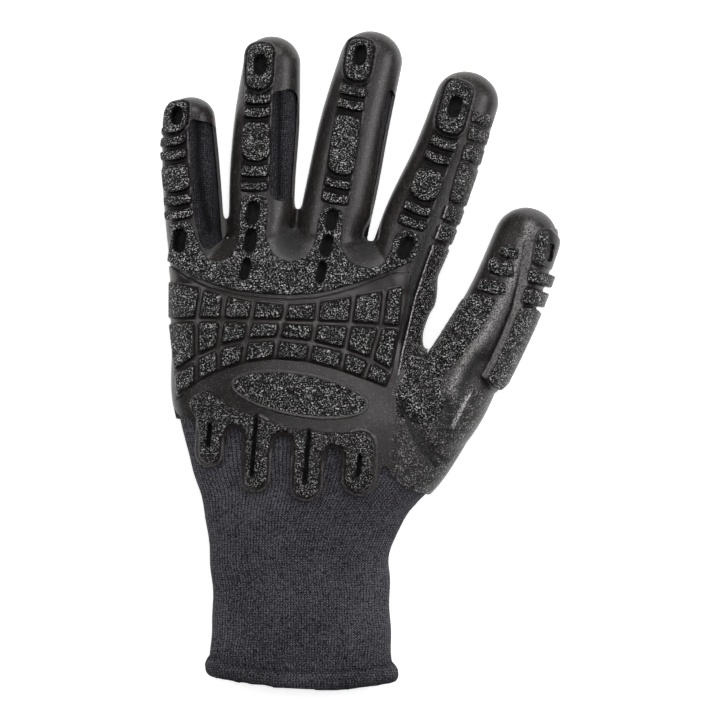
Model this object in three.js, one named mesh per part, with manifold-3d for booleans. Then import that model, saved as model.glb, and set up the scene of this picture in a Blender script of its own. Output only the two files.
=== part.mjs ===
// An impact work glove for the left hand, lying palm down and open at the wrist.
// Millimetres, +Z up, fingers towards +Y, thumb towards +X, back of the hand upwards.
//
// One hand form is lofted from the tables below. It can be grown or shrunk, and every layer
// is the space between two sizes of it: the knitted liner, the rubber skin and the guards.
import * as THREE from 'three';
import Module from 'manifold-3d';
import { mergeVertices } from 'three/addons/utils/BufferGeometryUtils.js';

const wasm = await Module();
wasm.setup();

// Layers, as distances outwards from the outer face of the rubber skin.
const GAP = 0.3;
const KNIT_WALL = 1.2;
const SKIN_WALL = 1.1;
const SKIN_INSIDE = -SKIN_WALL;
const KNIT_OUTSIDE = SKIN_INSIDE - GAP;
const KNIT_INSIDE = KNIT_OUTSIDE - KNIT_WALL;
const STRIP_TOP = 1.1;
const FIELD_TOP = 1.3;
const TILE_TOP = 2.4;
const SIDE_TOP = 1.9;
const KNUCKLE_TOP = 2.8;
const PAD_TOP = 3.0;
const PLATE_TOP = 2.2;
const THUMB_TOP = 3.2;
const CAP_TOP = 1.5;

// Mesh fineness.
const FINE = { body: 16, digit: 8 };
const COARSE = { body: 12, digit: 8 };
const DOME_STEPS = 2;
const DOME_END = 0.9;
const ARC_STEPS = 3;
const SMOOTHED_AWAY = 0.15;

const CUFF_END_Y = -125;
const HEM_REACH = 0.3;
const CUTTER_REACH = 12;
const HEM_TOP_Y = -115.5;
const CUFF_END_RISE = 0.003;
const CUFF_CENTRE_X = -17;
const KNUCKLE_BOW = -0.006;
const KNUCKLE_CENTRE_X = -24;

// The cuff, palm and knuckles, from the cuff's end to the fingers: where the section lies, its
// left and right edge, its lowest and highest point, and how far its line bends with x. `push`
// is the share of a layer's growth that moves the section forwards.
const BODY = [
  { y: CUFF_END_Y, left: -58.5, right: 14.8, low: -0.6, high: 25.5, bow: CUFF_END_RISE },
  { y: -111, left: -58.3, right: 13.2, low: -0.4, high: 24.6, bow: 0 },
  { y: -74, left: -58.3, right: 12.4, low: -0.4, high: 25, bow: 0 },
  { y: -60, left: -60.3, right: 18.9, low: -0.6, high: 27, bow: 0 },
  { y: -46, left: -63.6, right: 30.6, low: -1, high: 29.2, bow: 0 },
  { y: -37, left: -66, right: 36.6, low: -1.2, high: 30, bow: 0 },
  { y: -24, left: -69.4, right: 36, low: -1.4, high: 30.8, bow: 0 },
  { y: -16, left: -71.2, right: 33, low: -1.5, high: 31.2, bow: 0 },
  { y: 4, left: -71.4, right: 23, low: -1.6, high: 32.2, bow: 0 },
  { y: 24, left: -71.2, right: 25.8, low: -1.2, high: 32, bow: KNUCKLE_BOW / 2 },
  { y: 38, left: -71.2, right: 28, low: 0.6, high: 30.2, bow: KNUCKLE_BOW, push: 0.5 },
  { y: 46, left: -71.2, right: 28.6, low: 3.6, high: 26.4, bow: KNUCKLE_BOW, push: 1 },
  { y: 50.5, left: -70.6, right: 28, low: 8, high: 21.6, bow: KNUCKLE_BOW, push: 1 },
];

// Each digit from its root in the palm to where its rounded tip starts: the centre of the
// section, half its width and half its height. `tip` is how far the rounded end reaches.
const LITTLE = {
  tip: 8.3,
  rows: [
    { y: 30, x: -60.6, z: 15.5, wide: 10.6, tall: 11 },
    { y: 54, x: -62.9, z: 13.6, wide: 11.1, tall: 10.9 },
    { y: 80, x: -64.5, z: 11, wide: 10.6, tall: 9.9 },
    { y: 92, x: -64.4, z: 10, wide: 9.3, tall: 9 },
  ],
};
const RING = {
  tip: 10.4,
  rows: [
    { y: 38, x: -36.6, z: 15.6, wide: 12.2, tall: 11.6 },
    { y: 64, x: -37.2, z: 13.6, wide: 12.5, tall: 11.4 },
    { y: 92, x: -35.3, z: 11.4, wide: 12.4, tall: 10.7 },
    { y: 113, x: -33.5, z: 10, wide: 10.9, tall: 9.7 },
  ],
};
const MIDDLE = {
  tip: 11.3,
  rows: [
    { y: 34, x: -13.6, z: 16, wide: 13, tall: 12 },
    { y: 64, x: -7.2, z: 14.1, wide: 13.6, tall: 11.8 },
    { y: 92, x: -1.5, z: 11.8, wide: 13.1, tall: 11.1 },
    { y: 114, x: 3.8, z: 10.2, wide: 11.6, tall: 9.9 },
  ],
};
const INDEX = {
  tip: 10.9,
  rows: [
    { y: 28, x: 13.2, z: 16.2, wide: 13.2, tall: 12 },
    { y: 52, x: 21.8, z: 14.4, wide: 13.4, tall: 11.8 },
    { y: 78, x: 32.7, z: 12, wide: 12.2, tall: 10.9 },
    { y: 99, x: 40, z: 10.1, wide: 11.2, tall: 9.7 },
  ],
};
const THUMB = {
  tip: 12.2,
  rows: [
    { y: -38, x: 15, z: 14.5, wide: 12, tall: 10.5 },
    { y: -22, x: 28.4, z: 15.5, wide: 15.2, tall: 13.6 },
    { y: 0, x: 41.2, z: 14.6, wide: 14.6, tall: 13.2 },
    { y: 24, x: 53.9, z: 12.8, wide: 13.4, tall: 12 },
    { y: 46, x: 63.1, z: 10.9, wide: 12.2, tall: 10.6 },
  ],
};
const DIGITS = [LITTLE, RING, MIDDLE, INDEX, THUMB];
const BODY_SQUARENESS = 2.6;
const DIGIT_SQUARENESS = 2.25;

// Where the palm coating meets the back skin: the height of the seam along the hand.
const SEAM = [
  { y: -140, z: 13.5 },
  { y: 20, z: 14.5 },
  { y: 60, z: 13 },
  { y: 130, z: 9 },
];
const FAR = 160;
const SKY = 60;
const UNDERGROUND = -5;

// The height down to which each kind of guard reaches round the sides.
const KNUCKLE_FLOOR = 14;
const TILE_FLOOR = 15;
const PLATE_FLOOR = 16;
const FIELD_FLOOR = 17;
const FINGER_FLOOR = 11;
const THUMB_BLOCK_FLOOR = 12;
const THUMB_GUARD_FLOOR = 7;

// Turns a closed geometry into a solid that can be joined and cut.
function solidOf(geometry) {
  const bare = geometry.index ? geometry.toNonIndexed() : geometry.clone();
  bare.deleteAttribute('normal');
  bare.deleteAttribute('uv');
  const merged = mergeVertices(bare, 1e-4);
  return new wasm.Manifold(new wasm.Mesh({
    numProp: 3,
    vertProperties: new Float32Array(merged.attributes.position.array),
    triVerts: new Uint32Array(merged.index.array),
  }));
}

// Skins a closed tube over rings of points. Both ends are closed by strips from the upper
// half of the ring to the lower half.
function loft(rings) {
  const sides = rings[0].length;
  const corners = rings.flat().flatMap((p) => [p.x, p.y, p.z]);
  const index = [];
  for (let r = 0; r + 1 < rings.length; r += 1) {
    for (let s = 0; s < sides; s += 1) {
      const next = (s + 1) % sides;
      const a = r * sides + s;
      const b = r * sides + next;
      index.push(a, b, b + sides, a, b + sides, a + sides);
    }
  }
  for (const [first, flip] of [[0, true], [(rings.length - 1) * sides, false]]) {
    for (let s = 0; s < sides / 2; s += 1) {
      const [a, b] = [first + s, first + s + 1];
      const [c, d] = [first + sides - s - 1, first + ((sides - s) % sides)];
      for (const [one, two, three] of [[a, b, c], [a, c, d]]) {
        if (one !== two && two !== three && three !== one) {
          index.push(one, ...(flip ? [three, two] : [two, three]));
        }
      }
    }
  }
  const geometry = new THREE.BufferGeometry();
  geometry.setAttribute('position', new THREE.Float32BufferAttribute(corners, 3));
  geometry.setIndex(index);
  return geometry;
}

// A point on a rounded-square section, as shares of its half width and half height.
function sectionPoint(turn, squareness) {
  const power = 2 / squareness;
  const c = Math.cos(turn);
  const s = Math.sin(turn);
  return {
    across: Math.sign(c) * Math.abs(c) ** power,
    up: Math.sign(s) * Math.abs(s) ** power,
  };
}

// The cuff, palm and knuckles, grown by `grow` on every side and laid flat on the floor.
function bodyForm(grow, cuffExtra, sides) {
  const mouth = cuffExtra ? [{ ...BODY[0], y: BODY[0].y - cuffExtra }] : [];
  const rings = [...mouth, ...BODY].map((row) => {
    const centreX = (row.left + row.right) / 2;
    const wide = (row.right - row.left) / 2 + grow;
    const centreZ = (row.low + row.high) / 2;
    const tall = (row.high - row.low) / 2 + grow;
    const bend = row.y < 0 ? CUFF_CENTRE_X : KNUCKLE_CENTRE_X;
    const shift = grow * (row.push ?? 0);
    return Array.from({ length: sides }, (_, side) => {
      const share = sectionPoint((-2 * Math.PI * side) / sides, BODY_SQUARENESS);
      const alongRow = centreX + (wide - grow) * share.across - bend;
      return new THREE.Vector3(
        centreX + wide * share.across,
        row.y + shift + row.bow * alongRow ** 2,
        Math.max(centreZ + tall * share.up, -grow),
      );
    });
  });
  return solidOf(loft(rings));
}

// One digit, grown by `grow`, with an elliptical tip.
function digitForm(digit, grow, sides = FINE.digit) {
  const { rows, tip } = digit;
  const stations = rows.map((row, number) => {
    const before = rows[Math.max(number - 1, 0)];
    const after = rows[Math.min(number + 1, rows.length - 1)];
    return { ...row, heading: Math.atan2(after.x - before.x, after.y - before.y), scale: 1 };
  });
  const last = stations[stations.length - 1];
  for (let step = 1; step <= DOME_STEPS; step += 1) {
    const angle = (step / DOME_STEPS) * DOME_END * (Math.PI / 2);
    const reach = (tip + grow) * Math.sin(angle);
    stations.push({
      ...last,
      x: last.x + reach * Math.sin(last.heading),
      y: last.y + reach * Math.cos(last.heading),
      scale: Math.cos(angle),
    });
  }
  const rings = stations.map((row) => {
    const wide = (row.wide + grow) * row.scale;
    const tall = (row.tall + grow) * row.scale;
    return Array.from({ length: sides }, (_, side) => {
      const share = sectionPoint((-2 * Math.PI * side) / sides, DIGIT_SQUARENESS);
      return new THREE.Vector3(
        row.x + wide * share.across * Math.cos(row.heading),
        row.y - wide * share.across * Math.sin(row.heading),
        Math.max(row.z + tall * share.up, -grow),
      );
    });
  });
  return solidOf(loft(rings));
}

const formCache = new Map();

// The whole hand form at one size.
function handForm(grow, cuffExtra = 0, fineness = FINE) {
  const key = `${grow} ${cuffExtra}`;
  if (!formCache.has(key)) {
    let form = bodyForm(grow, cuffExtra, fineness.body);
    for (const digit of DIGITS) {
      form = form.add(digitForm(digit, grow, fineness.digit));
    }
    formCache.set(key, form);
  }
  return formCache.get(key);
}

// A flat outline, given as [x, y] corners, drawn straight up from `low` to `high`.
function prism(corners, low = 0, high = SKY) {
  const shape = new THREE.Shape(corners.map(([x, y]) => new THREE.Vector2(x, y)));
  const geometry = new THREE.ExtrudeGeometry(shape, { depth: high - low, bevelEnabled: false });
  geometry.translate(0, 0, low);
  return solidOf(geometry);
}

// The corners of a round-ended slot from one point to another.
function slotOutline([x1, y1], [x2, y2], radius) {
  const heading = Math.atan2(y2 - y1, x2 - x1);
  const corners = [];
  for (const [x, y, start] of [[x2, y2, heading - Math.PI / 2], [x1, y1, heading + Math.PI / 2]]) {
    for (let step = 0; step <= ARC_STEPS; step += 1) {
      const angle = start + (Math.PI * step) / ARC_STEPS;
      corners.push([x + radius * Math.cos(angle), y + radius * Math.sin(angle)]);
    }
  }
  return corners;
}

// The space below the seam between the palm coating and the back skin.
function belowSeam(lift) {
  const outline = SEAM.map((row) => new THREE.Vector2(row.y, row.z + lift));
  outline.push(new THREE.Vector2(FAR, -FAR), new THREE.Vector2(-FAR, -FAR));
  const geometry = new THREE.ExtrudeGeometry(new THREE.Shape(outline), {
    depth: 2 * FAR,
    bevelEnabled: false,
  });
  geometry.applyMatrix4(new THREE.Matrix4().set(
    0, 0, 1, -FAR,
    1, 0, 0, 0,
    0, 1, 0, 0,
    0, 0, 0, 1,
  ));
  return solidOf(geometry);
}

// The largest single body of a solid, without facets that bend less than can be seen.
function wholePiece(solid) {
  const bodies = solid.simplify(SMOOTHED_AWAY).decompose();
  return bodies.reduce((best, body) => (body.volume() > best.volume() ? body : best));
}

function unionOf(solids) {
  return solids.reduce((sum, solid) => sum.add(solid));
}

// The layer of the hand form between two sizes, inside an outline.
function layer(inside, outside, outline) {
  return handForm(outside).intersect(outline).subtract(handForm(inside));
}

// The arc that divides the knuckle band from the tiles.
const ARC = [
  [-72.7, 37], [-64.7, 31.8], [-56, 27.9], [-45.3, 25.2], [-35.4, 24], [-26.3, 23.6],
  [-17.2, 24.1], [-9.6, 25.6], [5.6, 30.5], [20.5, 36.6],
];
const GROOVE = 1.3;

// The crossings of the grooves between the tiles: the line above each row and below the last.
const TILE_LINES = [
  [
    [-73.4, 30.9], [-59.2, 27.2], [-50.4, 24.8], [-39.5, 22.6], [-27.2, 21.4], [-15.5, 22.2],
    [-2, 24.8], [9.6, 27], [17, 28.8],
  ],
  [
    [-73.4, 14.6], [-61.2, 15], [-51.6, 15], [-40.9, 14.7], [-28.9, 14.4], [-16.4, 13.9],
    [-3.7, 13.5], [7.8, 12.7], [15.4, 12],
  ],
  [
    [-70.8, -5.6], [-61.3, 1], [-52.9, 4.8], [-42.6, 7.3], [-30.7, 8], [-18, 6.5],
    [-5.6, 3.6], [4, 0], [12.2, -4.6],
  ],
  [
    [-69.8, -15.6], [-61.2, -8.4], [-52.6, -4.2], [-44, -1.4], [-32, 0.2], [-19.5, -0.9],
    [-7.3, -4.2], [1.2, -7.2], [10, -10.6],
  ],
];
const TILE_GROOVE = 2.1;
const PANEL_CORNER = [19.5, 33];

function shifted(line, rise) {
  return line.map(([x, y]) => [x, y + rise]);
}

// An anticlockwise outline with each side moved inwards.
function inset(corners, distance) {
  const points = corners.map(([x, y]) => new THREE.Vector2(x, y));
  return points.map((corner, number) => {
    const before = corner.clone().sub(points.at(number - 1)).normalize();
    const after = points[(number + 1) % points.length].clone().sub(corner).normalize();
    const reach = distance / (1 + before.dot(after));
    return [corner.x - (before.y + after.y) * reach, corner.y + (before.x + after.x) * reach];
  });
}

function tileOutlines() {
  return TILE_LINES.slice(1).flatMap((below, row) => below.slice(1).map((corner, column) => {
    const above = TILE_LINES[row];
    return inset([below[column], corner, above[column + 1], above[column]], TILE_GROOVE / 2);
  }));
}

function tilePanel() {
  const [, ...lines] = TILE_LINES;
  const base = prism([
    ...lines.at(-1),
    ...lines.slice(0, -1).reverse().map((line) => line.at(-1)),
    PANEL_CORNER,
    ...shifted(ARC, -GROOVE / 2).reverse().slice(1),
  ], TILE_FLOOR);
  const tiles = tileOutlines().map((outline) => prism(outline, TILE_FLOOR));
  return layer(GAP, STRIP_TOP, base).add(layer(GAP, TILE_TOP, unionOf(tiles)));
}

// The pebbled band over the knuckles, with a tongue up each finger and a hollow between them.
const KNUCKLE_TOP_EDGE = [
  [-72.7, 50.5], [-66, 52.2], [-62.8, 51.2],
  [-61, 45.5], [-59.4, 40.5], [-56, 37], [-52, 37], [-48.5, 39], [-45.7, 43.5], [-45.4, 51.5],
  [-45.2, 60.4], [-39.6, 62.3], [-34.3, 60.4],
  [-34.6, 54], [-35.3, 46.5], [-32.5, 39.5], [-26.5, 36.5], [-19.5, 39], [-16.7, 45],
  [-15.6, 53], [-14.6, 56], [-10.6, 57.8], [-6, 55.6],
  [-6.4, 50.5], [-7.2, 42.5], [-3.5, 36.5], [2.5, 34.5], [8.5, 35.5], [11.6, 41.5],
  [13, 47], [17, 49.4], [22.6, 46.6], [21.4, 39],
];
// The oval recesses over the knuckles: both ends of each slot, and half its width.
const RECESSES = [
  { from: [-68, 43.2], to: [-67.5, 46.6], half: 2.8 },
  { from: [-40.6, 53.5], to: [-40, 56.5], half: 2.8 },
  { from: [-41.4, 43], to: [-40.8, 46], half: 2.6 },
  { from: [-43.2, 32.6], to: [-42.2, 35.6], half: 2.5 },
  { from: [-10.9, 51], to: [-10.1, 54], half: 2.4 },
  { from: [-12.9, 41.4], to: [-12.1, 44], half: 2.4 },
  { from: [-14.8, 31.4], to: [-14, 34.4], half: 2.4 },
  { from: [16.4, 40.4], to: [17.8, 43.6], half: 3 },
];

function knuckleGuard() {
  const edge = [...KNUCKLE_TOP_EDGE].reverse();
  const band = prism([...edge, ...shifted(ARC, GROOVE / 2)], KNUCKLE_FLOOR);
  const recesses = RECESSES.map((slot) => prism(slotOutline(slot.from, slot.to, slot.half)));
  return layer(GAP, KNUCKLE_TOP, band)
    .subtract(unionOf(recesses).subtract(handForm(STRIP_TOP)));
}

// The strip along a finger: its centre line from root to tip, and its pads as the y where
// each begins and ends on that line, with half its width. `skew` tips the pads' ends, and
// `outer` is how much further they reach on the little finger's side.
const FINGER_GUARDS = {
  little_guard: {
    line: [[-67.3, 51.5], [-69.3, 73], [-70.4, 80], [-69.8, 98.5]],
    skew: 0.16,
    outer: 1.1,
    pads: [
      { from: 53.4, to: 56.8, half: 5 },
      { from: 58.6, to: 62.2, half: 4.8 },
      { from: 63.9, to: 74, half: 4.7, round: 1.6 },
      { from: 75.9, to: 79.3, half: 4.4 },
      { from: 81.2, to: 84.6, half: 4.4 },
      { from: 86.2, to: 98.2, half: 4.7, round: 4.2, slot: 2.2 },
    ],
  },
  ring_guard: {
    line: [[-39.8, 63], [-38.9, 82], [-39, 93], [-37.6, 111], [-37.4, 122]],
    skew: 0,
    pads: [
      { from: 64, to: 67.1, half: 5.2 },
      { from: 69.3, to: 73.4, half: 5.3 },
      { from: 75.3, to: 90, half: 5.4, round: 3.4 },
      { from: 91.8, to: 95.2, half: 5 },
      { from: 96.9, to: 100.4, half: 5 },
      { from: 102.4, to: 120, half: 4.9, round: 4.6, slot: 2.4 },
    ],
  },
  middle_guard: {
    line: [[-10, 57], [-7.6, 69], [-4.4, 92], [0, 114.4], [1.2, 123]],
    skew: -0.2,
    pads: [
      { from: 59.3, to: 62.8, half: 4.9 },
      { from: 64.9, to: 68, half: 5 },
      { from: 70, to: 92.3, half: 5, round: 3.4 },
      { from: 94.6, to: 98, half: 4.9 },
      { from: 99.9, to: 103.6, half: 4.9 },
      { from: 105.6, to: 121.6, half: 4.8, round: 4.5, slot: 2.4 },
    ],
  },
  index_guard: {
    line: [[17.4, 45.5], [24.7, 65.5], [31.6, 81.5], [38.6, 105]],
    skew: -0.35,
    pads: [
      { from: 50.2, to: 53.4, half: 4.9 },
      { from: 55.4, to: 58.6, half: 4.9 },
      { from: 60.6, to: 71.8, half: 5.1, round: 2.8 },
      { from: 74.6, to: 77.8, half: 4.8 },
      { from: 79.9, to: 83.2, half: 4.8 },
      { from: 85.8, to: 105.4, half: 4.9, round: 3.8, slot: 2.6 },
    ],
  },
};
const STRIP_MARGIN = 0.35;

// Where a guard's centre line is at a given y.
function lineAt(line, y) {
  const next = Math.max(1, line.findIndex((point, number) => number > 0 && point[1] >= y));
  const [x1, y1] = line[next - 1];
  const [x2, y2] = line[next];
  return x1 + ((x2 - x1) * (y - y1)) / (y2 - y1);
}

// A bar has four corners, and a rounded pad has its corners cut off.
function padOutline(guard, pad, margin = 0) {
  const half = pad.half + margin;
  const cut = pad.round ?? 0;
  const outer = half + (guard.outer ?? 0);
  const rise = guard.skew * half;
  const innerRise = rise * (1 - cut / half);
  const from = pad.from - margin;
  const to = pad.to + margin;
  const low = lineAt(guard.line, from);
  const high = lineAt(guard.line, to);
  const corners = [
    [low - outer + cut, from - innerRise],
    [low + half - cut, from + innerRise],
    [low + half, from + rise + cut],
    [high + half, to + rise - cut],
    [high + half - cut, to + innerRise],
    [high - outer + cut, to - innerRise],
    [high - outer, to - rise - cut],
    [low - outer, from - rise + cut],
  ];
  return cut ? corners : [corners[0], corners[1], corners[3], corners[6]];
}

function fingerGuard(guard) {
  const pads = guard.pads.map((pad) => prism(padOutline(guard, pad), FINGER_FLOOR));
  const strip = guard.pads.slice(0, -1).map((pad, number) => {
    const after = guard.pads[number + 1];
    return prism(padOutline(guard, {
      from: (pad.from + pad.to) / 2,
      to: (after.from + after.to) / 2,
      half: Math.min(pad.half, after.half),
    }, STRIP_MARGIN), FINGER_FLOOR);
  });
  const tipPad = guard.pads[guard.pads.length - 1];
  const middle = (tipPad.from + tipPad.to) / 2;
  const hole = prism(slotOutline(
    [lineAt(guard.line, middle - tipPad.slot), middle - tipPad.slot],
    [lineAt(guard.line, middle + tipPad.slot), middle + tipPad.slot],
    tipPad.slot,
  ));
  return layer(GAP, STRIP_TOP, unionOf(strip))
    .add(layer(GAP, PAD_TOP, unionOf(pads)))
    .subtract(hole.subtract(handForm(STRIP_TOP)));
}

// The oval plate: its centre, half its length and width, and how far it is turned.
const PLATE = { x: -22.4, y: -12.9, long: 26.2, short: 8.4, tilt: -0.165 };
const PLATE_SIDES = 20;

function ovalPlate() {
  const corners = Array.from({ length: PLATE_SIDES }, (_, step) => {
    const angle = (2 * Math.PI * step) / PLATE_SIDES;
    const a = PLATE.long * Math.cos(angle);
    const b = PLATE.short * Math.sin(angle);
    return [
      PLATE.x + a * Math.cos(PLATE.tilt) - b * Math.sin(PLATE.tilt),
      PLATE.y + a * Math.sin(PLATE.tilt) + b * Math.cos(PLATE.tilt),
    ];
  });
  return layer(GAP, PLATE_TOP, prism(corners, PLATE_FLOOR));
}

// The four loops over the cuff: the top and bottom of each centre line, half the width of the
// raised pad, and the slot in it. The rubber skin shows as a rim round each.
const LOOPS = [
  { top: [-56, -22], end: [-56.6, -34.8], half: 4, slotFrom: [-56.2, -24.6], slotTo: [-57, -32] },
  { top: [-38.6, -26], end: [-39.4, -43.6], half: 4.6, slotFrom: [-38.6, -19], slotTo: [-40.6, -43] },
  { top: [-19.6, -32], end: [-20.2, -46.6], half: 5, slotFrom: [-19, -25], slotTo: [-20.6, -46] },
  { top: [0, -32], end: [-0.4, -44.2], half: 5.4, slotFrom: [0, -36.2], slotTo: [-1, -43.4] },
];
// The gaps between the loops, where the knit shows: the round top and half the width.
const NOTCHES = [
  { x: -47, top: -25.3, half: 2.8 },
  { x: -29, top: -28.1, half: 3.1 },
  { x: -10, top: -33, half: 3.1 },
  { x: 9, top: -39.9, half: 2.3 },
];
const RIM = 1.5;
const SLOT_HALF = 0.9;
const SLOT_FLOOR = 0.7;
const NOTCH_END_Y = -70;
const FRINGE_TOP_EDGE = [
  [4.6, -38], [1.4, -27.5], [-20, -26.5], [-29.5, -24.5], [-39, -21.5], [-48.5, -17.5],
  [-54.5, -13], [-58, -11], [-61, -12], [-64, -14.8],
];
const FRINGE_LOW_EDGE = [
  [-64, -18], [-61.5, -22], [-60, -28], [-52, -28.5], [-44, -31], [-34, -33],
  [-15, -38], [-5, -41], [4.6, -41],
];

function notchPrisms(rim) {
  return unionOf(NOTCHES.map((notch) => {
    const half = notch.half + rim;
    const centre = notch.top - notch.half;
    return prism(slotOutline([notch.x, centre], [notch.x - 1, NOTCH_END_Y], half));
  }));
}

function loopPrisms(rim) {
  return unionOf(LOOPS.map((loop) => prism(slotOutline(loop.top, loop.end, loop.half + rim))));
}

function cuffFringe() {
  const outline = prism([...FRINGE_TOP_EDGE, ...FRINGE_LOW_EDGE])
    .add(loopPrisms(0))
    .subtract(notchPrisms(RIM));
  const slots = unionOf(LOOPS.map(
    (loop) => prism(slotOutline(loop.slotFrom, loop.slotTo, SLOT_HALF)),
  ));
  return layer(GAP, PLATE_TOP, outline).subtract(slots.subtract(handForm(SLOT_FLOOR)));
}

// The edge of the rubber skin over the wrist, from the thumb side to the little finger side.
const SKIN_LOW_EDGE = [
  [-80, -17], [-71, -17.2], [-68.5, -21], [-64.5, -21.6], [-61.6, -25.5], [-61, -30],
  [-50, -31], [-42, -33], [-34, -34], [-26, -37], [-15, -40], [-6, -43], [4, -44],
  [12, -43], [16.7, -48.3], [26, -51], [80, -52],
];
// Where the knit shows along the thumb side of the little, the ring and the middle finger.
const WINDOWS = [
  [
    [-65.2, 88.5], [-63.4, 91.4], [-57, 90], [-53.6, 87], [-52.2, 64], [-50.2, 48.4],
    [-52, 45.4], [-58.4, 42.2], [-62, 52], [-64.8, 66],
  ],
  [
    [-34.2, 64], [-34.4, 97], [-32.8, 101.4], [-25.2, 102.4], [-22.6, 98], [-23.6, 64],
    [-25.4, 61], [-30, 59.6],
  ],
  [[9.6, 100.6], [13.4, 100], [11.8, 86], [5, 54]],
];

function backSkin() {
  const outline = prism([...SKIN_LOW_EDGE, [80, 135], [-80, 135]])
    .add(loopPrisms(RIM))
    .subtract(notchPrisms(0))
    .subtract(unionOf(WINDOWS.map((window) => prism(window))));
  return layer(SKIN_INSIDE, 0, outline).subtract(belowSeam(GAP));
}

// The edge of the palm coating, which rises towards the little finger side.
const COATING_LOW_EDGE = [[-80, -20], [-66, -23], [-60, -40], [-50, -50], [80, -50]];

function coating() {
  const outline = prism([...COATING_LOW_EDGE, [80, 135], [-80, 135]], UNDERGROUND);
  return layer(SKIN_INSIDE, 0, outline).intersect(belowSeam(0));
}

function liner() {
  return handForm(KNIT_OUTSIDE).subtract(handForm(KNIT_INSIDE, CUTTER_REACH, COARSE));
}

// The liner and the coating are each divided at the wrist, at the roots of the fingers and at
// the root of the thumb. The zones' other borders run between the digits.
const WRIST_Y = -60;
const FINGER_ROOT_Y = 53;
const FINGER_END_Y = 128;
const THUMB_ROOT_Y = 8;
const HALF_GAP = GAP / 2;
const CUFF_ZONE = [
  [-90, -140], [60, -140], [60, WRIST_Y - HALF_GAP], [-90, WRIST_Y - HALF_GAP],
];
const HAND_ZONE = [
  [-90, WRIST_Y + HALF_GAP], [90, WRIST_Y + HALF_GAP], [90, THUMB_ROOT_Y - HALF_GAP],
  [24.7, THUMB_ROOT_Y - HALF_GAP], [41, FINGER_ROOT_Y - HALF_GAP],
  [-90, FINGER_ROOT_Y - HALF_GAP],
];
const DIGIT_ZONES = {
  little: fingerZone([-90, -90], [-50.4, -50.4]),
  ring: fingerZone([-50.4, -50.4], [-23.7, -15]),
  middle: fingerZone([-23.7, -15], [6, 28]),
  index: fingerZone([6, 28], [41, 66]),
  thumb: [[25, THUMB_ROOT_Y + HALF_GAP], [90, THUMB_ROOT_Y + HALF_GAP], [90, 70], [48, 70]],
};

// A finger's zone between two borders, each given as its x at the root and at the far end.
function fingerZone([leftRoot, leftEnd], [rightRoot, rightEnd]) {
  const rootY = FINGER_ROOT_Y + HALF_GAP;
  return [[leftRoot, rootY], [rightRoot, rootY], [rightEnd, FINGER_END_Y], [leftEnd, FINGER_END_Y]];
}

function within(solid, zone) {
  return solid.intersect(prism(zone, UNDERGROUND));
}

function cuffHem() {
  const outline = prism([[-80, -140], [40, -140], [40, HEM_TOP_Y], [-80, HEM_TOP_Y]], UNDERGROUND);
  return handForm(0, HEM_REACH).intersect(outline).subtract(handForm(SKIN_INSIDE, CUTTER_REACH));
}

// The notched strip down the index finger's thumb side, as short blocks on a thin strip.
const SIDE_LINE = [
  [14.2, -6.3], [15.9, 2.5], [18.1, 11.6], [20.8, 23], [24.2, 33.6], [28.1, 44.7], [30.5, 51],
  [33.8, 61], [36.6, 72], [39.6, 81], [42.8, 94.6],
];
const SIDE_BLOCKS = [
  { from: -4.5, to: 43.5, heel: [26.5, 2.6] },
  { from: 45.4, to: 51 },
  { from: 53, to: 58.4 },
  { from: 60.2, to: 74 },
  { from: 76, to: 81.6 },
  { from: 83.6, to: 88.4 },
  { from: 90.4, to: 94.4 },
];
const SIDE_REACH = 14;
const SIDE_SLANT = 4;
const SIDE_STEP = 16;
const SIDE_END_Y = 94.4;
const SIDE_CLEARANCE = 4.2;

function sideBlockOutline({ from, to, heel }) {
  const steps = Math.ceil((to - from) / SIDE_STEP);
  const inner = Array.from({ length: steps + 1 }, (_, step) => {
    const y = THREE.MathUtils.lerp(to, from, step / steps);
    return [lineAt(SIDE_LINE, y), y];
  });
  const lowCorner = heel ?? [inner[steps][0] + SIDE_REACH, from - SIDE_SLANT];
  return [...inner, lowCorner, [inner[0][0] + SIDE_REACH, to - SIDE_SLANT]];
}

function indexSideGuard() {
  const blocks = SIDE_BLOCKS.map((block) => prism(sideBlockOutline(block), TILE_FLOOR));
  const strip = prism(sideBlockOutline({ ...SIDE_BLOCKS[0], to: SIDE_END_Y }), TILE_FLOOR);
  const thumb = digitForm(THUMB, SIDE_CLEARANCE);
  return layer(GAP, STRIP_TOP, strip)
    .add(layer(GAP, SIDE_TOP, unionOf(blocks)))
    .subtract(thumb);
}

// The guard along the thumb's outer edge: corners of the long bar, two short bars and the cap.
const THUMB_PADS = [
  [
    [59.9, 19.6], [47.6, -6.6], [49.8, -10], [53, -11.8], [57, -8.5], [80, 6],
    [69.5, 17.2], [66, 19.8],
  ],
  [[60.3, 21.8], [62, 27.6], [80, 23], [80, 17.8]],
  [[62.6, 29.8], [63.4, 34.6], [80, 30.2], [80, 25.6]],
];
const THUMB_CAP = [[65.2, 36.6], [66.5, 48.4], [80, 49.4], [80, 32.4]];
const THUMB_STRIP = [
  [48.4, -11.5], [46.4, -6], [59.2, 19], [64.2, 47], [68, 50], [80, 50], [80, 4], [58, -10],
  [53, -13],
];
const CAP_FLOOR = 0.6;
const THUMB_SLOT = { from: [71.4, 38.4], to: [72, 43], half: 1.2 };

function thumbGuard() {
  const pads = THUMB_PADS.map((corners) => prism(corners, THUMB_GUARD_FLOOR));
  const slot = prism(slotOutline(THUMB_SLOT.from, THUMB_SLOT.to, THUMB_SLOT.half));
  return layer(GAP, STRIP_TOP, prism(THUMB_STRIP, THUMB_GUARD_FLOOR))
    .add(layer(GAP, THUMB_TOP, unionOf(pads)))
    .add(layer(GAP, CAP_TOP, prism(THUMB_CAP, THUMB_GUARD_FLOOR)))
    .subtract(slot.subtract(handForm(CAP_FLOOR)));
}

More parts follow.
